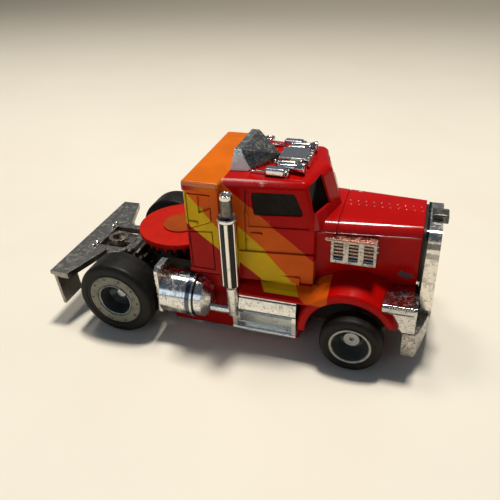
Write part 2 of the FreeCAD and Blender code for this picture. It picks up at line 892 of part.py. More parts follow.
def grille_solid():
    """The grille's back plate with its upright bars, seated in the surround."""
    half = surround_half - surround_frame - seat_gap
    low = shelf_high + 1.0 + seat_gap
    high = surround_top - 2 * surround_frame - seat_gap
    back = surround_back + surround_frame + seat_gap
    solid = box(back, back + 0.4, -half, half, low, high)
    pitch = 2 * half / grille_bars
    for k in range(grille_bars):
        y = -half + pitch * (k + 0.5)
        solid = solid.fuse(box(back + 0.3, surround_front - 0.2, y - grille_bar_half,
                               y + grille_bar_half, low, high))
    return solid


grille_insert = grille_solid()


def radiator_cap_solid():
    """The cap on the surround, with a rim and a peg that hang in front of it."""
    front = surround_front + cap_overhang
    cap = box(surround_back + 0.5, front, -cap_half, cap_half, surround_top, cap_top)
    cap = cap.makeChamfer(0.2, [edge for edge in cap.Edges if edge.CenterOfMass.z > cap_top - 1e-4])
    rim_piece = box(surround_front + seat_gap, front, -cap_half, cap_half, surround_top - 0.5,
                    surround_top + 0.1)
    peg = bar_x(0.35, 0, surround_top - 0.75, surround_front + seat_gap, front - 0.1)
    return cap.fuse([rim_piece, peg])


radiator_cap = radiator_cap_solid()


def bumper_solid():
    """A bumper swept back in plan, with a shelf in its middle and a mount behind it."""
    f = bumper_front
    t = bumper_thick
    ends = [(f, 3.5), (f - 0.87, 7.0), (f - 1.57, 9.7), (f - 1.9, bumper_half)]
    outer = [(x, -y) for x, y in reversed(ends)] + ends
    tail_x = f - 3.8
    inner = [(f - t, 3.5), (f - t - 0.87, 7.0), (f - t - 1.4, bumper_half - t)]
    outline = outer + [(tail_x, bumper_half), (tail_x, bumper_half - t)]
    outline += [(x, y) for x, y in reversed(inner)]
    outline += [(x, -y) for x, y in inner]
    outline += [(tail_x, -(bumper_half - t)), (tail_x, -bumper_half)]
    bumper = plan_prism(outline, bumper_low, bumper_high)
    lean = side_prism([(f - 1.1, bumper_low), (f + 1.0, bumper_low + 1.2), (f + 1.0, bumper_low)],
                      -reach, reach)
    bumper = bumper.cut(lean)
    shelf = side_prism([
        (surround_back + 0.6, bumper_high - 0.5), (f - 0.1, bumper_high - 0.5),
        (surround_front + 0.22, shelf_high), (surround_back + 0.6, shelf_high)], -shelf_half, shelf_half)
    mount = box(chassis_front + seat_gap, f - t, -3.0, 3.0, chassis_bottom + 1.0, rail_nose_top)
    bridge = box(surround_back + 0.6, f - t + 0.1, -3.0, 3.0, rail_nose_top - 0.5, bumper_high)
    return bumper.fuse([shelf, mount, bridge])


front_bumper = bumper_solid()

lamp_front = hood_front + 0.3
flange_thick = 0.35
lamp_spacing = 2.2
lamp_sink = 0.3
lamp_back = lamp_front - lamp_long


def headlamp_box_solid():
    """The flat tray over a fender's end with a housing for two lamps below it."""
    inner = -(hood_half_front - 0.6)
    tray = front_prism([
        (inner, lamp_top), (-(lamp_half - 0.5), lamp_top), (-(lamp_half - 0.1), lamp_top - 0.25),
        (-lamp_half, lamp_low + 0.4), (-(lamp_half - 0.15), lamp_low), (inner, lamp_low)],
        lamp_back, lamp_front)
    beside = -(surround_half + seat_gap)
    flange = front_prism([
        (beside, lamp_top), (-(lamp_half - 0.6), lamp_top), (-(lamp_half - 0.3), lamp_top - 0.3),
        (-(lamp_half - 0.3), lamp_low + 0.2), (beside, lamp_low + 0.2)],
        lamp_front, lamp_front + flange_thick)
    house_out = bumper_half - 0.1
    housing = side_prism([
        (lamp_front - 3.0, lamp_low + 0.1), (lamp_front - 3.0, lamp_low - 1.8),
        (lamp_front - 1.4, bumper_high + seat_gap), (lamp_front + flange_thick, bumper_high + seat_gap),
        (lamp_front + flange_thick, lamp_low + 0.3)], -house_out, -(shelf_half + 0.6))
    lamp = tray.fuse([flange, housing])
    mouth = lamp_front + flange_thick
    lamp_z = lamp_low - 0.9
    for lamp_y in (-(shelf_half + 2.0), -(shelf_half + 2.0 + lamp_spacing)):
        recess = [ring_at(x, lamp_y, lamp_z, r, lamp_sides)
                  for x, r in ((mouth - lamp_sink, 0.6 * lamp_r), (mouth, lamp_r))]
        lamp = lamp.cut(loft(recess))
    lamp = lamp.cut(body_shell)
    return max(lamp.Solids, key=lambda piece: piece.Volume)


headlamp_box_right = headlamp_box_solid()

cleaner_front = cleaner_back + cleaner_long
louvre_windows = 3
louvre_slats = 5
louvre_sink = 0.35
slat_thick = 0.2


def air_cleaner_solid():
    """A box on the hood's side with a lipped top and three louvred windows."""
    solid = box(cleaner_back, cleaner_front, -cleaner_out, -(hood_half_front + 0.3), cleaner_low,
                cleaner_high)
    lip = front_prism([
        (-(cleaner_out + 0.15), cleaner_high - 0.35), (-(cleaner_out + 0.15), cleaner_high - 0.1),
        (-cleaner_out, cleaner_high), (-(cleaner_out - 0.4), cleaner_high),
        (-(cleaner_out - 0.4), cleaner_high - 0.35)], cleaner_back - 0.7, cleaner_front)
    solid = solid.fuse(lip)
    pitch = cleaner_long / louvre_windows
    low = cleaner_low + 0.5
    high = cleaner_high - 0.6
    step = (high - low) / louvre_slats
    for k in range(louvre_windows):
        x0 = cleaner_back + pitch * k + 0.4
        x1 = cleaner_back + pitch * (k + 1) - 0.4
        solid = solid.cut(box(x0, x1, -cleaner_out - 1.0, -cleaner_out + louvre_sink, low, high))
        for s in range(louvre_slats):
            z = low + step * s + 0.1
            solid = solid.fuse(box(x0, x1, -cleaner_out + 0.1, -cleaner_out + louvre_sink + 0.1,
                                   z, z + slat_thick))
    return solid.cut(hood_block(seat_gap, cab_front - 2.0, hood_front, 6.0))


air_cleaner_right = air_cleaner_solid()


# Roof set

set_gap = 0.02
roof_seat = slab_top + set_gap
cap_seat = roof_top + set_gap
deflector_back = sleeper_front + 0.35
deflector_long = 6.5
deflector_side_long = 2.5
deflector_half = 5.4
deflector_top = 30.3
deflector_nose = 28.4
ridge_half = 4.3
ridge_back = deflector_back + 0.5
ridge_front = ridge_back + 1.2
horn_sides = 10


def deflector_solid():
    """A prow-shaped wind deflector with flat facets, from a ridge down to its nose."""
    side_x = deflector_back + deflector_side_long
    nose_x = deflector_back + deflector_long
    front_half = deflector_half - 0.2
    points = [
        V(deflector_back, -deflector_half, roof_seat),
        V(side_x, -front_half, roof_seat),
        V(nose_x, 0, roof_seat),
        V(side_x, front_half, roof_seat),
        V(deflector_back, deflector_half, roof_seat),
        V(ridge_back, -ridge_half, deflector_top),
        V(ridge_front, -ridge_half, deflector_top),
        V(ridge_front, ridge_half, deflector_top),
        V(ridge_back, ridge_half, deflector_top),
        V(nose_x - 0.2, 0, deflector_nose)]
    faces = [
        (4, 3, 2, 1, 0), (5, 6, 7, 8), (8, 4, 0, 5), (0, 1, 6), (0, 6, 5), (3, 4, 7), (4, 8, 7),
        (1, 2, 9), (1, 9, 6), (2, 3, 9), (3, 7, 9), (6, 9, 7)]
    return solid_of(points, faces)


wind_deflector = deflector_solid()


def horn(x0, x1, y, z, r0, r1):
    """A many-sided trumpet along the roof, flared at its front end."""
    bell_x = x0 + 0.6 * (x1 - x0)
    rings = [ring_at(x, y, z, r, horn_sides) for x, r in ((x0, r0), (bell_x, r0), (x1, r1))]
    return loft(rings[:2]).fuse(loft(rings[1:]))


unit_back = cab_datum_x + 3.7
unit_long = 4.3
unit_half = 1.95
unit_top = 28.6
unit_ribs = 4
bridge_back = unit_back + 1.3
bridge_half = 6.1
bridge_high = 0.5
inner_horn_y = -3.0
outer_horn_y = -4.35
horn_r = 0.35
inner_bell_r = 0.7
outer_bell_r = 0.75


def horn_set_solid():
    """The ribbed roof unit with two pairs of horns and a pair of lamps on one bridge."""
    unit_front = unit_back + unit_long
    unit = side_prism([
        (unit_back, cap_seat), (unit_front + 0.2, cap_seat), (unit_front, unit_top - 0.3),
        (unit_front - 0.3, unit_top), (unit_back, unit_top)], -unit_half, unit_half)
    pitch = (unit_long - 0.8) / unit_ribs
    for k in range(unit_ribs):
        x = unit_back + 0.5 + pitch * k
        unit = unit.cut(box(x, x + 0.4, -unit_half + 0.4, unit_half - 0.4, unit_top - 0.3, unit_top + 1.0))
    bridge = box(bridge_back, bridge_back + 1.0, -bridge_half, bridge_half, cap_seat,
                 cap_seat + bridge_high)
    lamp_back_x = bridge_back - 2.2
    pad_back = lamp_back_x - 2.0
    right = horn(unit_back + 0.1, unit_back + 3.3, inner_horn_y, cap_seat + inner_bell_r + 0.05,
                 horn_r, inner_bell_r)
    right = right.fuse([
        horn(unit_back + 0.3, unit_back + 4.3, outer_horn_y, cap_seat + outer_bell_r + 0.05,
             horn_r, outer_bell_r),
        box(lamp_back_x, bridge_back + 0.9, -bridge_half, -bridge_half + 1.0, cap_seat, cap_seat + 0.9),
        box(pad_back, lamp_back_x + 0.1, -bridge_half + 0.5, -bridge_half + 1.0, cap_seat,
            cap_seat + bridge_high)])
    return unit.fuse([bridge, both_sides(right)]).cut(wind_deflector)


horn_set = horn_set_solid()


# Stacks, tanks and steps


def stack_solid():
    """An upright pipe with a muffler and an open top, and an elbow to the tank's end."""
    upright = turned([
        (stack_foot, 0), (stack_foot, foot_r), (muffler_low, foot_r), (muffler_low, muffler_r),
        (muffler_top, muffler_r), (muffler_top, pipe_r), (stack_top, pipe_r),
        (stack_top, pipe_r - pipe_wall), (stack_top - pipe_open, pipe_r - pipe_wall),
        (stack_top - pipe_open, 0),
    ], V(stack_x, stack_y, 0), EZ)
    elbow = bar_x(elbow_r, stack_y, stack_foot + elbow_rise, tank_front + seat_gap, stack_x)
    return upright.fuse(elbow)


tank_y = -9.6
tank_z = 7.0
tank_r = 3.5
tank_back = 7.5
tank_front = tank_back + 8.2
dome_long = 1.1
strap_rise = 0.2
strap_wide = 1.1
plate_thick_x = 0.6
plate_out = 12.4
plate_high = 12.8
plate_low = 3.0


def fuel_tank_solid():
    """A round tank with a strap and a domed end, behind a guard plate for the rear wheel."""
    strap_back = tank_back + 4.5
    strap_front = strap_back + strap_wide
    dome_back = tank_front - dome_long
    neck_r = tank_r - 0.1
    tank = turned([
        (tank_back, 0), (tank_back, tank_r), (strap_back, tank_r),
        (strap_back, tank_r + strap_rise), (strap_front, tank_r + strap_rise),
        (strap_front, neck_r), (dome_back, neck_r), (tank_front, tank_r - 1.6), (tank_front, 0)],
        V(0, tank_y, tank_z), EX)
    plate_back = tank_back - plate_thick_x
    plate = front_prism([
        (-skirt_half, plate_low), (-(plate_out - 1.5), plate_low), (-plate_out, plate_low + 1.4),
        (-plate_out, plate_high - 0.6), (-(plate_out - 0.5), plate_high), (-skirt_half, plate_high)],
        plate_back, tank_back)
    rim_piece = front_prism([
        (-skirt_half, plate_high - 0.3), (-(plate_out - 0.6), plate_high - 0.3),
        (-(plate_out - 0.5), plate_high), (-skirt_half, plate_high)], plate_back, tank_back + 0.5)
    tongue = box(strap_back - 1.8, strap_front - 0.1, tank_y - 0.6, tank_y + 0.5,
                 tank_z + tank_r - 0.3, tank_z + tank_r + 0.3)
    tank = tank.fuse([plate, rim_piece, tongue])
    return tank.cut(box(0, reach, -(skirt_half + seat_gap), 0, -reach, reach))


fuel_tank_right = fuel_tank_solid()
stack_right = stack_solid()


def step_box_solid():
    """The step box: a top strip, a bulged upper face and a sunk lower face with a lip."""
    inner = -(skirt_half + seat_gap)
    top = board_edge_z - seat_gap
    out = -step_out
    solid = front_prism([
        (inner, top), (out + 0.5, top), (out + 0.5, top - 0.45), (out + 0.65, top - 0.45),
        (out + 0.65, top - 0.65), (out + 0.4, top - 0.65), (out + 0.05, top - 1.9), (out, top - 2.5),
        (out + 0.15, top - 2.9), (out + 0.15, step_low + 0.5), (out, step_low + 0.3),
        (out, step_low), (inner, step_low)], step_back, step_front)
    sunk = front_prism([
        (out - 1.0, top - 2.7), (out + 0.25, top - 2.9), (out + 0.9, top - 3.9),
        (out + 0.9, step_low + 0.8), (out + 0.3, step_low + 0.5), (out - 1.0, step_low + 0.5)],
        step_back + step_end, step_front - step_end)
    foot_room = bar_z(foot_r + seat_gap, stack_x, stack_y, stack_foot - seat_gap, reach)
    elbow_room = bar_x(elbow_r + seat_gap, stack_y, stack_foot + elbow_rise, step_back - 1.0, stack_x)
    return solid.cut(sunk).cut(foot_room).cut(elbow_room)


step_box_right = step_box_solid()


# Tail


flap_low = 3.0
flap_thick = 0.5
flap_lean = 0.5
flap_in = 8.0


def rear_bar_solid():
    """The wedge-shaped bar across the tail, with a mud flap under each end."""
    low = bar_top - bar_thick
    right = [(bar_front, -bar_half), (bar_nose, -(hitch_half + seat_gap)),
             (bar_nose - 2.1, -(hitch_half + seat_gap))]
    outline = [(bar_back, -bar_half)] + right
    outline += [(x, -y) for x, y in reversed(right)] + [(bar_back, bar_half)]
    plate = plan_prism(outline, low, bar_top)
    wedge = side_prism([
        (bar_back - 0.1, low - 0.1), (bar_back - 0.1, low + 0.5), (bar_back + 2.4, low - 0.1)],
        -reach, reach)
    plate = plate.cut(wedge)
    flap_top = low + 0.5
    flap_back = bar_back + 0.6
    flap = side_prism([
        (flap_back, flap_top), (flap_back + flap_thick, flap_top),
        (flap_back + flap_lean + flap_thick, flap_low), (flap_back + flap_lean, flap_low)],
        -bar_half, -flap_in)
    return plate.fuse(both_sides(flap))


rear_bar = rear_bar_solid()


def hitch_frame_solid():
    """Two rails and a cross bar on the chassis, which carry the hitch ring."""
    seat = rail_rear_top
    rail_in = hitch_half - 1.3
    front = chassis_back + 1.5
    rail = box(bar_nose - 2.0, front, -hitch_half, -rail_in, seat, bar_top)
    cross = box(chassis_back - 0.1, front, -chassis_half, chassis_half, seat, seat + 0.6)
    web = box(hitch_x, chassis_back + 0.5, -0.9, 0.9, seat, seat + 0.8)
    ring = bar_z(hitch_ring_r, hitch_x, 0, seat, hitch_top)
    solid = cross.fuse([web, ring, both_sides(rail)])
    return solid.cut(bar_z(hitch_hole_r, hitch_x, 0, 0, reach))


hitch_frame = hitch_frame_solid()


shoe_long = 8.0
shoe_out = 3.8
shoe_in = 2.4
shoe_thick = 0.3


def pickup_shoe_solid():
    """A bent copper strip under the pan."""
    front = wheelbase - 3.1
    strip_low = chassis_bottom - 0.6
    strip = box(front - shoe_long, front, -shoe_out, -shoe_in, strip_low, strip_low + shoe_thick)
    leg = box(front - shoe_thick, front, -shoe_out, -shoe_in, strip_low, chassis_bottom)
    return strip.fuse(leg)


length_back = bar_back
length_front = surround_front + cap_overhang
to_middle = V(-(length_back + length_front) / 2, 0, 0)


def export(name, shape):
    placed = shape.copy()
    placed.translate(to_middle)
    placed.exportStep("parts/" + name + ".step")


for name, right in (
    ("rear_tyre", mirrored(rear_tyre)),
    ("rear_rim", mirrored(rear_rim)),
    ("front_tyre", mirrored(front_tyre)),
    ("front_rim", mirrored(front_rim)),
    ("side_glass", side_glass_right),
    ("headlamp_box", headlamp_box_right),
    ("air_cleaner", air_cleaner_right),
    ("exhaust_stack", stack_right),
    ("fuel_tank", fuel_tank_right),
    ("step_box", step_box_right),
    ("pickup_shoe", pickup_shoe_solid()),
):
    export(name + "_right", right)
    export(name + "_left", mirrored(right))

for name, shape in (
    ("rear_axle_rod", rear_axle_rod),
    ("front_axle_rod", front_axle_rod),
    ("axle_gear", axle_gear),
    ("idler_pinion", idler_pinion),
    ("idler_bearing", idler_bearing),
    ("crown_gear", crown_gear),
    ("motor_pinion", motor_pinion),
    ("motor", motor),
    ("chassis", chassis),
    ("gear_plate", gear_plate),
    ("body_shell", body_shell),
    ("windscreen", windscreen),
    ("radiator_surround", radiator_surround),
    ("grille_insert", grille_insert),
    ("radiator_cap", radiator_cap),
    ("front_bumper", front_bumper),
    ("wind_deflector", wind_deflector),
    ("horn_set", horn_set),
    ("rear_bar", rear_bar),
    ("hitch_frame", hitch_frame),
):
    export(name, shape)
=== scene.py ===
import json
import math

import bmesh
import bpy
from mathutils import Matrix, Vector


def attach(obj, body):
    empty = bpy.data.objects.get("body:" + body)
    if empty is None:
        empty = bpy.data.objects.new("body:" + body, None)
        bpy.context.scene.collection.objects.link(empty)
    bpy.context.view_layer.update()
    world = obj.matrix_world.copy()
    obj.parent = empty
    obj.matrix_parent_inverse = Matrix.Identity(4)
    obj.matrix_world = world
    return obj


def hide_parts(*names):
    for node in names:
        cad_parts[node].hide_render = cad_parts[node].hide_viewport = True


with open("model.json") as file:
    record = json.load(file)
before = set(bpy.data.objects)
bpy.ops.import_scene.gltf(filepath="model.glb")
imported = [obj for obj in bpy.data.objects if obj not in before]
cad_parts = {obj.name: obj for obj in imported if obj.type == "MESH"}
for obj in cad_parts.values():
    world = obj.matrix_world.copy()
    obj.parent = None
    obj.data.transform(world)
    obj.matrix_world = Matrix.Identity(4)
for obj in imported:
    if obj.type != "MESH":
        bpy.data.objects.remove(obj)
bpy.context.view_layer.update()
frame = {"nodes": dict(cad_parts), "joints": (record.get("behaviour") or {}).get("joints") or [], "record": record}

MM = 0.001


def rear_axle_x():
    """The place of the rear axle along the truck, in metres."""
    for joint in frame["joints"]:
        if joint["name"] == "rear_axle_spin":
            return joint["pos_m"][0]
    raise ValueError("the frame has no rear axle")


AXLE_X = rear_axle_x()

# The camera, fitted to the photo and measured from the rear axle's foot in mm; its focal length is in pixels
CAMERA_FOCAL = 549.3
CAMERA_AZIMUTH = math.radians(19.163)
CAMERA_ELEVATION = math.radians(32.151)
CAMERA_ROLL = math.radians(-2.754)
CAMERA_DISTANCE = 93.478
CAMERA_TARGET = Vector((18.766, 0.0, 10.421))
FRAME_PIXELS = 500

# Sizes in mm. As in the model, x is 0 at the rear axle, y at the middle and z at the ground.
WHEELBASE = 38.1
REAR_TYRE_R = 6.5
REAR_RING_R = 4.52
REAR_FACE = 14.2
REAR_WIDE = 5.0
FRONT_TYRE_R = 4.7
FRONT_RING_R = 3.16
FRONT_FACE = 13.4
FRONT_WIDE = 3.2
AXLE_R = 0.75
STACK_X = 19.45
STACK_Y = 11.24
MUFFLER_R = 1.44
PIPE_R = 0.88
FOOT_R = 0.9
HOOD_TOP = 21.25
HOOD_BACK = 31.4
ROOF_SEAT = 27.37
SIDE_WINDOW_FRONT = 30.7
SLEEPER_FRONT = 17.85
DOOR_FOOT = 11.42
BAR_TOP = 9.51
TYRE_SEGMENTS = 112
BOLTS = 10
BOLT_CIRCLE_R = 4.03
BOLT_R = 0.24
BOLT_RISE = 0.07
LAMP_TRAY_BACK = 43.0
AXLE_GEAR_TIP_R = 4.95
CROWN_X = 6.55
CROWN_BOSS_R = 3.12
CROWN_BOSS_FOOT = 13.98
CROWN_ROOT_R = 7.0
RING_X = -6.6


def make_camera():
    """The photo's point of view."""
    a, e, r = CAMERA_AZIMUTH, CAMERA_ELEVATION, CAMERA_ROLL
    back = Vector((math.sin(a) * math.cos(e), -math.cos(a) * math.cos(e), math.sin(e)))
    right = (-back).cross(Vector((0, 0, 1))).normalized()
    up = right.cross(-back)
    turned_right = right * math.cos(r) + up * math.sin(r)
    turned_up = up * math.cos(r) - right * math.sin(r)
    place = (CAMERA_TARGET + back * CAMERA_DISTANCE) * MM + Vector((AXLE_X, 0, 0))
    data = bpy.data.cameras.new("camera")
    data.sensor_width = 36.0
    data.lens = CAMERA_FOCAL / FRAME_PIXELS * data.sensor_width
    data.clip_start = 0.001
    camera = bpy.data.objects.new("camera", data)
    camera.matrix_world = Matrix.Translation(place) @ Matrix((
        (turned_right.x, turned_up.x, back.x, 0),
        (turned_right.y, turned_up.y, back.y, 0),
        (turned_right.z, turned_up.z, back.z, 0),
        (0, 0, 0, 1)))
    bpy.context.scene.collection.objects.link(camera)
    bpy.context.scene.camera = camera


# Materials


class Look:
    """A material's nodes. Places in it are in mm from the rear axle's foot."""

    def __init__(self, name):
        self.material = bpy.data.materials.new(name)
        self.material.use_nodes = True
        self.tree = self.material.node_tree
        self.shader = self.tree.nodes["Principled BSDF"]
        coordinates = self.add("ShaderNodeTexCoord")
        moved = self.add("ShaderNodeVectorMath", operation="SUBTRACT")
        self.join(coordinates.outputs["Object"], moved.inputs[0])
        moved.inputs[1].default_value = (AXLE_X, 0, 0)
        scaled = self.add("ShaderNodeVectorMath", operation="SCALE")
        self.join(moved.outputs[0], scaled.inputs[0])
        scaled.inputs["Scale"].default_value = 1 / MM
        self.point = scaled.outputs[0]
        split = self.add("ShaderNodeSeparateXYZ")
        self.join(self.point, split.inputs[0])
        self.x, self.y, self.z = split.outputs
        self.side = self.math("ABSOLUTE", self.y)

    def add(self, kind, **settings):
        node = self.tree.nodes.new(kind)
        for key, value in settings.items():
            setattr(node, key, value)
        return node

    def join(self, source, target):
        """Sets an input to a socket, a number or a colour."""
        if isinstance(source, bpy.types.NodeSocket):
            self.tree.links.new(source, target)
        elif isinstance(source, tuple) and len(source) == 3 and target.type == "RGBA":
            target.default_value = (*source, 1)
        else:
            target.default_value = source

    def math(self, operation, *values):
        node = self.add("ShaderNodeMath", operation=operation)
        for value, target in zip(values, node.inputs):
            self.join(value, target)
        return node.outputs[0]

    def times(self, *values):
        product = values[0]
        for value in values[1:]:
            product = self.math("MULTIPLY", product, value)
        return product

    def either(self, *values):
        """The largest of several shares."""
        largest = values[0]
        for value in values[1:]:
            largest = self.math("MAXIMUM", largest, value)
        return largest

    def ramp(self, value, low, high, start=0.0, end=1.0):
        """A smooth change from start to end while the value goes from low to high."""
        node = self.add("ShaderNodeMapRange", interpolation_type="SMOOTHSTEP")
        for item, target in zip((value, low, high, start, end), node.inputs):
            self.join(item, target)
        return node.outputs[0]

    def noise(self, size, detail=3.0, rough=0.55, shift=0.0, warp=0.0):
        node = self.add("ShaderNodeTexNoise")
        moved = self.add("ShaderNodeVectorMath", operation="ADD")
        self.join(self.point, moved.inputs[0])
        moved.inputs[1].default_value = (shift, 2.3 * shift, -1.7 * shift)
        self.join(moved.outputs[0], node.inputs["Vector"])
        node.inputs["Scale"].default_value = 1 / size
        node.inputs["Detail"].default_value = detail
        node.inputs["Roughness"].default_value = rough
        node.inputs["Distortion"].default_value = warp
        return node.outputs["Fac"]

    def mix(self, share, first, second):
        node = self.add("ShaderNodeMix", data_type="RGBA")
        self.join(share, node.inputs[0])
        self.join(first, node.inputs[6])
        self.join(second, node.inputs[7])
        return node.outputs[2]

    def blend(self, share, first, second):
        node = self.add("ShaderNodeMix", data_type="FLOAT")
        self.join(share, node.inputs[0])
        self.join(first, node.inputs[2])
        self.join(second, node.inputs[3])
        return node.outputs[0]

    def past(self, value, limit, soft=0.05):
        """1 where the value is past a limit, with a narrow soft edge."""
        return self.ramp(value, limit - soft, limit + soft)

    def short_of(self, value, limit, soft=0.05):
        """1 where the value is short of a limit."""
        return self.ramp(value, limit - soft, limit + soft, 1.0, 0.0)

    def within(self, value, low, high, soft_low=0.05, soft_high=0.05):
        """1 between two limits."""
        return self.times(self.past(value, low, soft_low), self.short_of(value, high, soft_high))

    def distance(self, x, y, z):
        node = self.add("ShaderNodeVectorMath", operation="DISTANCE")
        self.join(self.point, node.inputs[0])
        node.inputs[1].default_value = (x, y, z)
        return node.outputs["Value"]

    def above_line(self, x0, z0, slope, soft=0.05):
        """1 above a slanting line on the truck's side."""
        line = self.math("MULTIPLY_ADD", self.x, slope, z0 - slope * x0)
        return self.past(self.math("SUBTRACT", self.z, line), 0.0, soft)

    def blob(self, x, y, z, radius, edge=0.12):
        """1 inside a ragged patch round a place."""
        ragged = self.math("MULTIPLY_ADD", self.noise(radius * 0.8, 5.0, 0.75, x), radius * 3.4,
                           self.distance(x, y, z))
        return self.short_of(ragged, radius * 2.35, edge * radius)

    def crevices(self, reach, dark_at=0.2):
        """1 in narrow corners and grooves."""
        node = self.add("ShaderNodeAmbientOcclusion")
        node.samples = 6
        node.inputs["Distance"].default_value = reach * MM
        return self.ramp(node.outputs["AO"], dark_at, dark_at + 0.45, 1.0, 0.0)

    def surface(self, bevel=0.1, *bumps):
        """Softened edges, with bumps of (height, strength, distance in mm) over them.

        The edges' radius in mm is a number or a socket.
        """
        node = self.add("ShaderNodeBevel")
        node.samples = 4
        varies = isinstance(bevel, bpy.types.NodeSocket)
        self.join(self.times(bevel, MM) if varies else bevel * MM, node.inputs["Radius"])
        normal = node.outputs[0]
        for height, strength, distance in bumps:
            bump = self.add("ShaderNodeBump")
            bump.inputs["Strength"].default_value = strength
            bump.inputs["Distance"].default_value = distance * MM
            self.join(height, bump.inputs["Height"])
            self.join(normal, bump.inputs["Normal"])
            normal = bump.outputs[0]
        self.join(normal, self.shader.inputs["Normal"])

    def finish(self, **inputs):
        for name, value in inputs.items():
            self.join(value, self.shader.inputs[name.replace("_", " ")])
        return self.material


RED = (0.50, 0.003, 0.002)
DEEP_RED = (0.44, 0.008, 0.006)
ORANGE = (0.75, 0.15, 0.001)
STRIPE_ORANGE = (0.76, 0.115, 0.006)
YELLOW = (0.76, 0.46, 0.008)
# Dark brown painted as shade on the skirt behind the sleeper
GAP_SHADE_BROWN = (0.012, 0.008, 0.006)
# Dark red-brown painted as shade in the grooves and corners
GROOVE_SHADE = (0.035, 0.012, 0.008)
DIRT = (0.05, 0.02, 0.01)
CHIP_GREY = (0.075, 0.08, 0.085)
SCUFF_PALE = (0.5, 0.42, 0.4)

# Edges of the stripes, as (x, z, slope) of lines on the truck's side
SLEEPER_YELLOW_LINE = (12.0, 20.75, -0.79)
SLEEPER_ORANGE_LINE = (13.24, 25.1, -1.19)
CAB_YELLOW_LINE = (19.9, 14.9, -0.86)
CAB_ORANGE_LINES = (19.8, 20.1, -0.78), (24.15, 16.7, -1.0), (24.15, 16.7, -1.23)
CAB_RED_LINE = (19.9, 25.3, -0.86)

# Worn places in the paint, as (x, y, z, radius)
CHIPS = (44.0, -5.7, 13.6, 0.9), (45.0, -5.5, 13.2, 0.75)
SCUFFS = (25.0, -8.95, 21.4, 0.42), (23.9, -8.1, 27.2, 0.6), (36.0, 5.0, 21.2, 0.5), (24.6, -8.6, 26.5, 0.5)


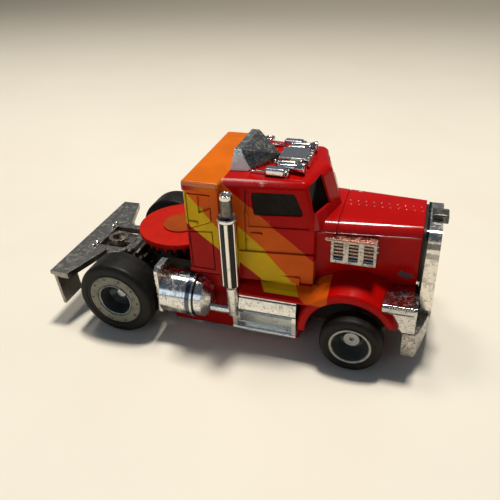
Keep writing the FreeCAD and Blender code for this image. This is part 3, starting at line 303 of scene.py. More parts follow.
def body_paint():
    """Red plastic with printed stripes, painted shade in the grooves, chips and scuffs."""
    look = Look("body_paint")

    # The stripes' edges waver a little
    wobble = look.math("MULTIPLY_ADD", look.noise(1.2, 2.0), 0.24, -0.12)
    true_z = look.z
    look.z = look.math("ADD", look.z, wobble)

    sleeper = look.mix(look.above_line(*SLEEPER_YELLOW_LINE), DEEP_RED, YELLOW)
    sleeper = look.mix(look.above_line(*SLEEPER_ORANGE_LINE), sleeper, STRIPE_ORANGE)
    upper, lower, steep = (look.above_line(*line) for line in CAB_ORANGE_LINES)
    cab = look.mix(look.above_line(*CAB_YELLOW_LINE), DEEP_RED, YELLOW)
    cab = look.mix(look.either(look.times(upper, lower), steep), cab, STRIPE_ORANGE)
    cab = look.mix(look.above_line(*CAB_RED_LINE), cab, RED)
    cab = look.mix(look.past(look.x, HOOD_BACK + 0.2), cab, RED)
    look.z = true_z
    on_door = look.times(look.past(look.z, DOOR_FOOT, 0.02), look.past(look.side, 7.0))
    cab = look.mix(on_door, RED, cab)

    # The running board and the back of the fender carry the bands on
    start = look.past(look.math("MULTIPLY_ADD", look.side, -0.63, look.x), 17.66)
    turn = look.past(look.math("MULTIPLY_ADD", look.side, -0.45, look.x), 24.9)
    board = look.mix(start, RED, YELLOW)
    board = look.mix(turn, board, STRIPE_ORANGE)
    edge = look.math("MULTIPLY_ADD", look.math("MAXIMUM", look.math("SUBTRACT", look.x, 29.7), 0.0),
                     -0.6, look.side)
    on_board = look.times(look.short_of(look.z, 11.5, 0.03), look.past(look.side, 8.9, 0.02),
                          look.short_of(look.x, 32.0, 0.02))
    on_fender = look.times(look.past(look.x, 31.45, 0.02), look.short_of(look.x, 34.15),
                           look.past(look.side, 6.95, 0.02), look.short_of(look.z, 14.4))
    banded = look.times(look.either(on_board, on_fender), look.short_of(edge, 10.75),
                        look.past(look.z, 9.7, 0.1))
    cab = look.mix(banded, cab, board)

    color = look.mix(look.short_of(look.x, SLEEPER_FRONT), cab, sleeper)

    # The sleeper's roof is orange with a red rim, and the skirt is dark red
    slab = look.times(look.past(look.z, 26.0, 0.05), look.short_of(look.x, 18.05, 0.02))
    slab_rim = look.times(look.short_of(look.z, 26.9, 0.25), look.past(look.side, 9.9, 0.2),
                          look.short_of(look.x, 14.2, 1.6))
    color = look.mix(slab, color, look.mix(slab_rim, ORANGE, DEEP_RED))
    skirt = look.short_of(look.z, 9.3, 0.05)
    color = look.mix(look.times(skirt, look.short_of(look.x, 29.0)), color, DEEP_RED)

    # Painted shade: the top of the skirt behind the sleeper is painted dark brown, where a dark opening lies in
    # shade
    gap_shade = look.times(look.short_of(look.x, 12.2, 0.02), look.within(look.z, 10.9, 12.8),
                      look.past(look.side, 8.0))
    color = look.mix(gap_shade, color, GAP_SHADE_BROWN)

    cloudy = look.ramp(look.noise(5.0, 3.0, 0.6, 4.0), 0.35, 0.7, 0.9, 1.06)
    shade = look.add("ShaderNodeMix", data_type="RGBA", blend_type="MULTIPLY")
    look.join(1.0, shade.inputs[0])
    look.join(color, shade.inputs[6])
    look.join(cloudy, shade.inputs[7])
    color = shade.outputs[2]

    # Painted shade in the grooves and corners, and chips in the paint
    on_hood = look.times(look.past(look.x, HOOD_BACK, 0.1), look.past(look.z, 18.6, 0.4))
    groove_shade = look.times(look.crevices(0.45), look.blend(on_hood, 0.75, 0.15))
    color = look.mix(groove_shade, color, GROOVE_SHADE)
    dirt = look.times(look.ramp(look.noise(0.35, 4.0, 0.7, 7.0), 0.66, 0.74),
                      look.ramp(look.noise(4.0, 2.0, 0.5, 9.0), 0.5, 0.65))
    color = look.mix(look.times(dirt, 0.6), color, DIRT)
    chips = look.either(*(look.blob(*place) for place in CHIPS))
    color = look.mix(chips, color, CHIP_GREY)
    scuffs = look.either(*(look.blob(*place) for place in SCUFFS))
    color = look.mix(look.times(scuffs, 0.8), color, SCUFF_PALE)
    worn = look.either(chips, scuffs)
    rough = look.blend(worn, look.ramp(look.noise(2.5, 4.0, 0.6, 3.0), 0.3, 0.75, 0.12, 0.24), 0.5)
    # The rounded shoulders of the hood and the roof are rubbed glossy
    shoulder = look.times(on_hood, look.past(look.side, 4.6, 0.5), look.past(look.z, 19.5, 0.25))
    roof_edge = look.times(look.within(look.z, 26.7, ROOF_SEAT - 0.05, 0.15, 0.04),
                           look.past(look.side, 7.4, 0.4), look.short_of(look.x, 31.0, 0.5))
    gloss = look.math("MULTIPLY_ADD", shoulder, 0.5, 0.1)
    gloss = look.math("MULTIPLY_ADD", roof_edge, 0.9, gloss)
    rough = look.math("MULTIPLY_ADD", roof_edge, 0.1, rough)
    look.surface(look.blend(roof_edge, 0.22, 0.55), (look.noise(1.6, 2.0), 0.1, 0.05),
                 (worn, 0.4, -0.05))
    return look.finish(Base_Color=color, Roughness=rough, Specular_IOR_Level=gloss)


def rivet_paint():
    """The hood's red on the rivets, painted lighter as a painted highlight."""
    look = Look("rivet_paint")
    cloud = look.noise(0.8, 3.0, 0.6, 2.0)
    # The lighter red is a painted highlight where the rivets catch the light
    color = look.mix(look.ramp(cloud, 0.35, 0.7), (0.66, 0.03, 0.02), (0.54, 0.008, 0.005))
    look.surface(0.04, (cloud, 0.05, 0.03))
    return look.finish(Base_Color=color, Roughness=look.ramp(cloud, 0.3, 0.7, 0.18, 0.3),
                       Specular_IOR_Level=0.7)


SPECK_BROWN = (0.05, 0.042, 0.035)
CORNER_SHADE_BROWN = (0.02, 0.017, 0.014)


def chrome(name, tint, rough, specks, mottle, dull=(0.2, 0.185, 0.16), bands=None, bump=0.15,
           bevel=0.12, matt=None):
    """Plated plastic: mirror bright, with dark specks, patches worn matt and painted shade in narrow corners.

    bands changes the colour in places, and matt gives a share that is matt as well.
    """
    look = Look(name)
    fine = look.noise(0.28, 5.0, 0.75, 1.0, 0.4)
    wide = look.noise(0.9, 5.0, 0.7, 5.0, 0.8)
    speck = look.ramp(fine, 0.66 - 0.12 * specks, 0.74 - 0.12 * specks)
    patch = look.ramp(wide, 0.62 - 0.22 * mottle, 0.72 - 0.14 * mottle)
    worn = look.either(look.times(speck, 0.85), look.times(patch, mottle))
    color = look.mix(look.times(patch, mottle), tint, dull)
    color = look.mix(speck, color, SPECK_BROWN)
    if bands:
        color = bands(look, color)
    if matt:
        worn = look.either(worn, matt(look))
    # Painted shade: the plating darkens to brown in narrow corners
    color = look.mix(look.times(look.crevices(0.4), 0.8), color, CORNER_SHADE_BROWN)
    look.surface(bevel, (wide, bump, 0.12), (fine, bump * 0.8, 0.03))
    return look.finish(
        Base_Color=color,
        Metallic=look.blend(worn, 1.0, 0.3),
        Roughness=look.blend(worn, rough, min(rough + 0.32, 0.7)))


def tank_bands(look, color):
    """The strap's dark blue part beside the tank's bright drum."""
    strap = look.within(look.x, 11.95, 12.75, 0.03)
    color = look.mix(look.times(strap, 0.9), color, (0.03, 0.045, 0.09))
    neck = look.within(look.x, 13.1, 13.35, 0.03)
    return look.mix(neck, color, (0.03, 0.028, 0.026))


def cleaner_tint_and_shade(look, color):
    """A copper tint on the top, and a painted blue shade at the foot of the louvres."""
    top = look.past(look.z, 19.2, 0.08)
    color = look.mix(look.times(top, 0.8), color, (0.33, 0.10, 0.05))
    louvre = look.within(look.side, 7.2, 7.68, soft_high=0.04)
    color = look.mix(look.times(louvre, 0.55), color, (0.45, 0.2, 0.13))
    # Painted blue shade at the foot of the louvres
    foot = look.times(louvre, look.short_of(look.z, 16.6, 0.2))
    return look.mix(foot, color, (0.10, 0.15, 0.24))


def surround_reflections_and_shadow(look, color):
    """Painted reflections as dark bands across the shoulder of the radiator's frame, and a painted shadow as a
    dark line behind it.
    """
    # Painted shadow from the slit behind the frame
    color = look.mix(look.times(look.short_of(look.x, 46.95, 0.03), 0.95), color, (0.012, 0.011, 0.01))
    # Painted dark reflections across the shoulder
    dark = look.within(look.z, 18.2, 19.2, 0.1, 0.1)
    color = look.mix(look.times(dark, 0.8), color, (0.03, 0.03, 0.032))
    low = look.within(look.z, 16.6, 17.5, 0.15, 0.12)
    return look.mix(look.times(low, 0.55), color, (0.05, 0.05, 0.055))


def deflector_bands(look, color):
    """Worn dark on the large facets, and bright on the ends as a painted reflection."""
    inside = look.short_of(look.side, 4.5, 0.1)
    grain = look.ramp(look.noise(0.3, 5.0, 0.8, 11.0, 0.8), 0.42, 0.58)
    worn = look.times(inside, look.past(look.x, 19.7, 0.2))
    color = look.mix(look.times(worn, 0.9), color, look.mix(grain, (0.14, 0.13, 0.115), (0.42, 0.40, 0.35)))
    # The ends' bright colour is a painted reflection
    ends = look.past(look.side, 4.6, 0.1)
    color = look.mix(look.times(ends, 0.9), color, look.mix(grain, (0.78, 0.75, 0.68), (0.96, 0.94, 0.88)))
    return look.mix(look.times(look.blob(23.2, -2.6, 28.0, 1.6), 0.5), color, (0.4, 0.28, 0.13))


def deflector_ends(look):
    """The deflector's ends are worn matt."""
    return look.past(look.side, 4.6, 0.1)


def lamp_tray_reflection(look, color):
    """A painted reflection of the red body on the tray over the lamps."""
    tray = look.times(look.past(look.z, 10.7, 0.1), look.past(look.x, LAMP_TRAY_BACK, 0.5),
                      look.short_of(look.side, 10.6, 0.2))
    return look.mix(look.times(tray, 0.4), color, (0.40, 0.16, 0.13))


def step_recess_shade(look, color):
    """Painted blue shade in the recess under the step."""
    recess = look.times(look.within(look.z, 3.5, 5.6, 0.15, 0.2), look.within(look.x, 20.2, 31.4, 0.1, 0.2))
    return look.mix(look.times(recess, 0.6), color, (0.20, 0.26, 0.29))


def hitch_bands(look, color):
    """A copper tint on the ring."""
    ring = look.short_of(look.distance(RING_X, 0, 9.3), 2.0, 0.2)
    return look.mix(look.times(ring, 0.6), color, (0.5, 0.38, 0.28))


def silver_ring(name, tint, mottle):
    """Silver paint on a rim, worn to the dark plastic under it."""
    look = Look(name)
    fine = look.noise(0.35, 5.0, 0.75, 2.0)
    wide = look.noise(1.1, 4.0, 0.6, 8.0)
    worn = look.either(look.ramp(fine, 0.60 - 0.06 * mottle, 0.70),
                       look.times(look.ramp(wide, 0.5, 0.7), 0.6 * mottle))
    color = look.mix(worn, tint, (0.06, 0.056, 0.045))
    look.surface(0.08, (fine, 0.2, 0.04))
    return look.finish(Base_Color=color, Metallic=look.blend(worn, 0.55, 0.1),
                       Roughness=look.blend(worn, 0.42, 0.6))


def plain_plastic(name, color, dark, rough, metallic=0.0):
    """Moulded plastic with a faint grain, dust and painted shade in the corners."""
    look = Look(name)
    grain = look.noise(0.25, 3.0, 0.6, 1.5)
    cloud = look.noise(2.2, 4.0, 0.6, 6.0)
    base = look.mix(look.ramp(cloud, 0.35, 0.7), color, dark)
    # Painted shade: darker in narrow corners
    base = look.mix(look.times(look.crevices(0.5), 0.6), base, tuple(0.25 * c for c in dark))
    look.surface(0.08, (grain, 0.12, 0.03))
    return look.finish(Base_Color=base, Roughness=look.ramp(cloud, 0.3, 0.7, rough, rough + 0.15),
                       Metallic=metallic, Specular_IOR_Level=0.3)


def rubber():
    """Tyre rubber with dusty brown scuffs."""
    look = Look("rubber")
    grain = look.noise(0.2, 4.0, 0.7, 3.0)
    scuff = look.noise(1.8, 4.0, 0.65, 2.0, 0.6)
    color = look.mix(look.ramp(scuff, 0.42, 0.72), (0.006, 0.0055, 0.0045), (0.014, 0.012, 0.0085))
    look.surface(0.05, (grain, 0.2, 0.03))
    return look.finish(Base_Color=color, Roughness=look.ramp(scuff, 0.3, 0.7, 0.42, 0.58),
                       Specular_IOR_Level=0.2)


def teeth_tip_glints():
    """The axle gear's black plastic, painted pale at the tips of its teeth as painted glints."""
    look = Look("axle_gear_black")
    rise = look.math("POWER", look.math("SUBTRACT", look.z, REAR_TYRE_R), 2.0)
    away = look.math("SQRT", look.math("ADD", look.times(look.x, look.x), rise))
    # Painted glints: pale colour where the teeth reach out
    tips = look.times(look.past(away, AXLE_GEAR_TIP_R, 0.12), look.ramp(look.noise(0.8, 3.0), 0.35, 0.6))
    color = look.mix(tips, (0.018, 0.014, 0.012), (0.30, 0.24, 0.19))
    look.surface(0.06, (look.noise(0.25), 0.15, 0.03))
    return look.finish(Base_Color=color, Roughness=look.ramp(look.noise(0.7), 0.3, 0.7, 0.25, 0.4))


def crown_plastic():
    """The crown gear's red disc with its brown boss, matt and scuffed."""
    look = Look("crown_plastic")
    away = look.add("ShaderNodeVectorMath", operation="LENGTH")
    flat = look.add("ShaderNodeCombineXYZ")
    look.join(look.math("SUBTRACT", look.x, CROWN_X), flat.inputs[0])
    look.join(look.y, flat.inputs[1])
    look.join(flat.outputs[0], away.inputs[0])
    radius = away.outputs["Value"]
    boss = look.times(look.short_of(radius, CROWN_BOSS_R, 0.03), look.past(look.z, CROWN_BOSS_FOOT, 0.02))
    cloud = look.noise(2.0, 4.0, 0.6, 3.0)
    red = look.mix(look.ramp(cloud, 0.35, 0.7), (0.54, 0.011, 0.002), (0.46, 0.008, 0.002))
    brown = look.mix(look.ramp(cloud, 0.35, 0.7), (0.36, 0.06, 0.003), (0.29, 0.042, 0.003))
    color = look.mix(boss, red, brown)
    scratches = look.ramp(look.noise(0.3, 5.0, 0.8, 5.0, 1.0), 0.68, 0.74)
    color = look.mix(look.times(scratches, 0.35), color, (0.85, 0.25, 0.15))
    edge = look.times(look.past(radius, CROWN_ROOT_R, 0.15),
                      look.ramp(look.noise(0.5, 3.0, 0.6, 6.0), 0.58, 0.64))
    color = look.mix(look.times(edge, 0.7), color, (0.12, 0.01, 0.006))
    look.surface(0.12, (cloud, 0.06, 0.05))
    return look.finish(Base_Color=color, Roughness=look.ramp(cloud, 0.3, 0.7, 0.4, 0.52),
                       Specular_IOR_Level=0.1)


def window_plastic():
    """Smoked, satin window pieces with faint wipes, and a darker windscreen."""
    look = Look("window_plastic")
    wipe = look.noise(2.6, 4.0, 0.6, 4.0, 1.5)
    color = look.mix(look.ramp(wipe, 0.35, 0.7), (0.014, 0.0095, 0.006), (0.022, 0.0165, 0.012))
    color = look.mix(look.past(look.x, SIDE_WINDOW_FRONT, 0.1), color, (0.003, 0.0012, 0.001))
    look.surface(0.05)
    return look.finish(Base_Color=color, Roughness=look.ramp(wipe, 0.3, 0.7, 0.1, 0.22),
                       Specular_IOR_Level=look.ramp(look.x, SIDE_WINDOW_FRONT - 0.2,
                                                    SIDE_WINDOW_FRONT + 0.2, 0.07, 0.005))


def metal(name, color, rough):
    """Bare metal, clouded by handling."""
    look = Look(name)
    cloud = look.noise(0.5, 4.0, 0.6, 2.0)
    base = look.mix(look.ramp(cloud, 0.35, 0.7), color, tuple(0.6 * c for c in color))
    look.surface(0.06, (cloud, 0.1, 0.03))
    return look.finish(Base_Color=base, Metallic=1.0,
                       Roughness=look.ramp(cloud, 0.3, 0.7, rough, rough + 0.15))


def dark_shade_and_reflection(name):
    """Near-black plating: a painted dark reflection between a muffler's bright ribs, and painted shade where it
    fills slots and horn mouths.
    """
    look = Look(name)
    fine = look.noise(0.3, 4.0, 0.7, 2.0)
    color = look.mix(look.ramp(fine, 0.5, 0.75), (0.006, 0.005, 0.004), (0.02, 0.017, 0.014))
    look.surface(0.04)
    return look.finish(Base_Color=color, Roughness=look.ramp(fine, 0.3, 0.7, 0.14, 0.24),
                       Specular_IOR_Level=0.25)


LOOKS = {
    "body": body_paint(),
    "rivet": rivet_paint(),
    "window": window_plastic(),
    "bright": chrome("chrome_bright", (0.80, 0.78, 0.74), 0.06, 0.35, 0.2),
    "worn": chrome("chrome_worn", (0.76, 0.74, 0.69), 0.14, 0.8, 0.6, (0.50, 0.46, 0.40)),
    "step": chrome("chrome_step", (0.82, 0.80, 0.75), 0.14, 0.65, 0.5, (0.55, 0.51, 0.44), step_recess_shade),
    "tank": chrome("chrome_tank", (0.80, 0.79, 0.76), 0.13, 0.85, 0.6, (0.62, 0.58, 0.5), tank_bands),
    "cleaner": chrome("chrome_cleaner", (0.5, 0.47, 0.43), 0.22, 0.8, 0.7, (0.3, 0.27, 0.23),
                      cleaner_tint_and_shade, bevel=0.08),
    "surround": chrome("chrome_surround", (0.80, 0.765, 0.70), 0.16, 0.55, 0.6, (0.56, 0.51, 0.44),
                       surround_reflections_and_shadow),
    "mottled": chrome("chrome_mottled", (0.50, 0.47, 0.43), 0.2, 1.0, 0.85, (0.40, 0.36, 0.30)),
    "lamps": chrome("chrome_lamps", (0.62, 0.6, 0.57), 0.12, 0.8, 0.5, (0.36, 0.32, 0.28), lamp_tray_reflection),
    "dull": chrome("chrome_dull", (0.33, 0.315, 0.28), 0.3, 0.7, 0.6, (0.21, 0.19, 0.155), bump=0.12),
    "pipe": chrome("chrome_pipe", (0.20, 0.19, 0.17), 0.28, 0.9, 0.8, (0.11, 0.10, 0.085)),
    "grain": chrome("chrome_grain", (0.5, 0.49, 0.45), 0.3, 1.3, 0.8, (0.3, 0.29, 0.26), bump=0.4),
    "frosted": chrome("chrome_frosted", (0.36, 0.38, 0.44), 0.25, 1.0, 0.8, (0.2, 0.21, 0.25), bump=0.3),
    "deflector": chrome("chrome_deflector", (0.62, 0.6, 0.55), 0.2, 0.8, 0.6, (0.36, 0.34, 0.3),
                        deflector_bands, 0.35, matt=deflector_ends),
    "hitch": chrome("chrome_hitch", (0.45, 0.41, 0.36), 0.24, 0.7, 0.5, (0.2, 0.18, 0.15), hitch_bands),
    "ring": silver_ring("rim_silver", (0.19, 0.186, 0.15), 1.3),
    "ring_front": silver_ring("rim_silver_front", (0.38, 0.37, 0.33), 0.8),
    "lip": chrome("chrome_lip", (0.24, 0.28, 0.30), 0.2, 0.4, 0.3),
    "dish": plain_plastic("dish_black", (0.06, 0.07, 0.066), (0.085, 0.09, 0.084), 0.12, 0.25),
    "hub": plain_plastic("hub_grey", (0.10, 0.105, 0.11), (0.05, 0.052, 0.055), 0.3, 0.4),
    "hub_front": silver_ring("hub_silver", (0.5, 0.5, 0.47), 0.4),
    "rubber": rubber(),
    "black": plain_plastic("gear_black", (0.022, 0.020, 0.019), (0.05, 0.04, 0.035), 0.3),
    "teeth": teeth_tip_glints(),
    "crown": crown_plastic(),
    "chassis": plain_plastic("chassis_dark", (0.030, 0.026, 0.023), (0.055, 0.04, 0.03), 0.4),
    "brown": plain_plastic("post_brown", (0.20, 0.10, 0.03), (0.10, 0.05, 0.02), 0.45),
    "steel": metal("rod_steel", (0.55, 0.54, 0.52), 0.22),
    "can": metal("can_steel", (0.35, 0.33, 0.32), 0.3),
    "copper": metal("strip_copper", (0.72, 0.36, 0.19), 0.28),
    "slot": dark_shade_and_reflection("muffler_dark"),
}

# The look of each material slot, and of the nodes that differ from their slot
SLOT_LOOKS = {
    "red_body": "body",
    "dark_glazing": "window",
    "worn_chrome": "worn",
    "bright_chrome": "bright",
    "tyre_black": "rubber",
    "black_plastic": "black",
    "dark_chassis": "chassis",
    "brown_plastic": "brown",
    "orange_gear": "crown",
    "steel": "steel",
    "motor_can": "can",
    "copper": "copper",
}
NODE_LOOKS = {
    "radiator_cap": "pipe",
    "axle_gear": "teeth",
    "fuel_tank": "tank",
    "air_cleaner": "cleaner",
    "radiator_surround": "surround",
    "front_bumper": "mottled",
    "headlamp_box": "lamps",
    "step_box": "step",
    "rear_bar": "dull",
    "hitch_frame": "hitch",
    "wind_deflector": "deflector",
}


def dress_nodes():
    """Gives every node its look."""
    for part in frame["record"]["subparts"]:
        name = part["node"]
        stem = name.replace("_left", "").replace("_right", "")
        look = NODE_LOOKS.get(stem, SLOT_LOOKS[part["material_slot"]])
        node = frame["nodes"][name]
        node.data.materials.clear()
        node.data.materials.append(LOOKS[look])


# Pieces


class Form:
    """A mesh under construction, in mm from the rear axle's foot."""

    def __init__(self, name, looks):
        self.name = name
        self.looks = looks
        self.mesh = bmesh.new()

    def place(self, x, y, z):
        return self.mesh.verts.new((x * MM + AXLE_X, y * MM, z * MM))

    def face(self, corners, look=0):
        face = self.mesh.faces.new(corners)
        face.material_index = look
        face.smooth = True
        return face

    def band(self, first, second, look=0):
        """Faces between two rings of equal length."""
        count = len(first)
        for k in range(count):
            n = (k + 1) % count
            self.face([first[k], first[n], second[n], second[k]], look)

    def lathe(self, centre, axis, profile, segments, closed=True):
        """A turned form from (distance along the axis, radius, look) points."""
        axis = Vector(axis)
        across = Vector((0, 0, 1)) if abs(axis.z) < 0.5 else Vector((1, 0, 0))
        other = axis.cross(across)
        rings = []
        for along, radius, look in profile:
            middle = Vector(centre) + axis * along
            ring = []
            for k in range(segments):
                angle = 2 * math.pi * k / segments
                point = middle + (across * math.cos(angle) + other * math.sin(angle)) * radius
                ring.append(self.place(*point))
            rings.append((ring, look))
        for (ring, look), (following, _) in zip(rings, rings[1:]):
            self.band(ring, following, look)
        if closed:
            self.face(*rings[0])
            self.face(*rings[-1])

    def dome(self, centre, axis, radius, height, look, segments, steps, foot=0.0):
        """A low dome on a surface, with an optional foot sunk below it."""
        profile = []
        if foot:
            profile.append((-foot, radius, look))
        for k in range(steps + 1):
            angle = math.pi / 2 * k / steps
            profile.append((height * math.sin(angle), max(radius * math.cos(angle), radius * 0.04), look))
        self.lathe(centre, axis, profile, segments)

    def slab(self, low, high, look, ease):
        """A block with eased edges."""
        made = bmesh.ops.create_cube(self.mesh, size=1.0)
        size = [h - l for l, h in zip(low, high)]
        middle = [(h + l) / 2 for l, h in zip(low, high)]
        for vert in made["verts"]:
            at = [middle[i] + vert.co[i] * size[i] for i in range(3)]
            vert.co = (at[0] * MM + AXLE_X, at[1] * MM, at[2] * MM)
        edges = list({edge for vert in made["verts"] for edge in vert.link_edges})
        faces = {face for vert in made["verts"] for face in vert.link_faces}
        result = bmesh.ops.bevel(self.mesh, geom=edges, offset=ease * MM, segments=3,
                                 profile=0.5, affect="EDGES")
        for face in set(result["faces"]) | {face for face in faces if face.is_valid}:
            face.material_index = look
            face.smooth = True

    def side_slab(self, side, x, y, z, look, ease):
        """A block on one side, from (low, high) pairs, with y counted outwards."""
        self.slab(*zip(x, sorted(side * value for value in y), z), look, ease)

    def done(self, body, replaces=None, sharp=32):
        """Makes the piece; edges over sharp degrees stay sharp."""
        bmesh.ops.recalc_face_normals(self.mesh, faces=self.mesh.faces)
        limit = math.radians(sharp)
        for edge in self.mesh.edges:
            if len(edge.link_faces) == 2 and edge.calc_face_angle() > limit:
                edge.smooth = False
        data = bpy.data.meshes.new(self.name)
        self.mesh.to_mesh(data)
        self.mesh.free()
        for look in self.looks:
            data.materials.append(LOOKS[look])
        piece = bpy.data.objects.new(self.name, data)
        bpy.context.scene.collection.objects.link(piece)
        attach(piece, body)
        if replaces:
            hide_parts(replaces)


def label(side):
    return "right" if side < 0 else "left"


def rounded(points, radius, steps=4):
    """An open profile of (along, radius, look) points with its inner corners rounded."""
    result = [points[0]]
    for before, corner, after in zip(points, points[1:], points[2:]):
        p, c, n = (Vector(point[:2]) for point in (before, corner, after))
        arm = min(radius, (p - c).length * 0.45, (n - c).length * 0.45)
        a = c + (p - c).normalized() * arm
        b = c + (n - c).normalized() * arm
        for k in range(steps + 1):
            t = k / steps
            at = a * (1 - t) ** 2 + c * 2 * t * (1 - t) + b * t ** 2
            look = before[2] if t < 0.5 else corner[2]
            result.append((at.x, at.y, look))
    result.append(points[-1])
    return result


def tyres():
    """Tyres with round shoulders and a bead round the rim."""
    for side in (-1, 1):
        for axle, x, radius, ring, face, wide in (
                ("rear", 0.0, REAR_TYRE_R, REAR_RING_R, REAR_FACE, REAR_WIDE),
                ("front", WHEELBASE, FRONT_TYRE_R, FRONT_RING_R, FRONT_FACE, FRONT_WIDE)):
            shoulder = 0.6 if axle == "rear" else 0.5
            wall = radius - ring
            inner = face - wide
            profile = [(inner + 0.25, ring, 0), (inner, ring + 0.3 * wall, 0),
                       (inner, radius - 0.5 * shoulder, 0), (inner + 0.35, radius, 0),
                       (face - shoulder, radius, 0), (face - 0.3 * shoulder, radius - 0.35 * shoulder, 0),
                       (face, radius - shoulder, 0), (face, ring + 0.34 * wall, 0),
                       (face - 0.09, ring + 0.28 * wall, 0), (face - 0.09, ring + 0.16 * wall, 0),
                       (face - 0.02, ring + 0.1 * wall, 0), (face - 0.04, ring, 0)]
            form = Form("tyre_" + axle + "_" + label(side), ["rubber"])
            form.lathe((x, 0, radius), (0, side, 0), rounded(profile, 0.35 if axle == "rear" else 0.25),
                       TYRE_SEGMENTS, closed=False)
            form.done(axle + "_axle", axle + "_tyre_" + label(side), 50)


def rear_rims():
    """Silver rings with bolts, a bright lip, a deep dark dish and a grey hub."""
    face = REAR_FACE
    ring, lip, hub, dish = range(4)
    for side in (-1, 1):
        profile = [(face - REAR_WIDE, AXLE_R, dish), (face - REAR_WIDE, REAR_RING_R - 0.02, dish),
                   (face - 0.1, REAR_RING_R - 0.02, ring), (face - 0.07, REAR_RING_R - 0.1, ring),
                   (face - 0.07, 3.16, ring), (face - 0.24, 3.08, ring), (face - 0.24, 2.86, lip),
                   (face - 0.06, 2.80, lip), (face - 0.06, 2.70, lip), (face - 0.2, 2.62, dish),
                   (face - 0.5, 2.58, dish), (face - 2.2, 2.3, dish),
                   (face - 2.9, 1.5, dish), (face - 2.9, 1.0, hub), (face - 2.35, 0.95, hub),
                   (face - 2.2, 0.78, hub)]
        form = Form("rim_rear_" + label(side), ["ring", "lip", "hub", "dish"])
        form.lathe((0, 0, REAR_TYRE_R), (0, side, 0), rounded(profile, 0.05, 3), TYRE_SEGMENTS,
                   closed=False)
        for k in range(BOLTS):
            angle = 2 * math.pi * (k + 0.5) / BOLTS
            centre = (BOLT_CIRCLE_R * math.sin(angle), side * (face - 0.08),
                      REAR_TYRE_R + BOLT_CIRCLE_R * math.cos(angle))
            form.dome(centre, (0, side, 0), BOLT_R, BOLT_RISE, dish, 12, 2)
        form.done("rear_axle", "rear_rim_" + label(side))


def front_rims():
    """Narrow silver rings, a deep dark dish and a silver hub with a turned end."""
    face = FRONT_FACE
    ring, dish, hub = range(3)
    for side in (-1, 1):
        profile = [(face - FRONT_WIDE, AXLE_R, dish), (face - FRONT_WIDE, FRONT_RING_R - 0.02, dish),
                   (face - 0.06, FRONT_RING_R - 0.02, ring), (face - 0.01, FRONT_RING_R - 0.08, ring),
                   (face - 0.01, 2.84, ring), (face - 0.1, 2.76, dish), (face - 0.35, 2.6, dish),
                   (face - 1.4, 2.25, dish), (face - 2.25, 1.75, dish), (face - 2.5, 1.24, dish),
                   (face - 1.86, 1.24, hub), (face - 1.74, 1.16, hub), (face - 1.74, 0.82, hub),
                   (face - 1.84, 0.76, hub), (face - 1.84, 0.44, dish), (face - 1.78, 0.38, hub),
                   (face - 1.78, 0.24, dish), (face - 2.0, 0.22, dish)]
        form = Form("rim_front_" + label(side), ["ring_front", "dish", "hub_front"])
        form.lathe((WHEELBASE, 0, FRONT_TYRE_R), (0, side, 0), rounded(profile, 0.06, 3), 96,
                   closed=False)
        form.done("front_axle", "front_rim_" + label(side))


def front_rod():
    """The front axle, short of the hubs that hide its ends."""
    form = Form("rod_front", ["steel"])
    half = FRONT_FACE - 2.1
    form.lathe((WHEELBASE, 0, FRONT_TYRE_R), (0, 1, 0),
               rounded([(-half, 0.5, 0), (-half, AXLE_R, 0), (half, AXLE_R, 0), (half, 0.5, 0)], 0.08), 40)
    form.done("front_axle", "front_axle_rod")


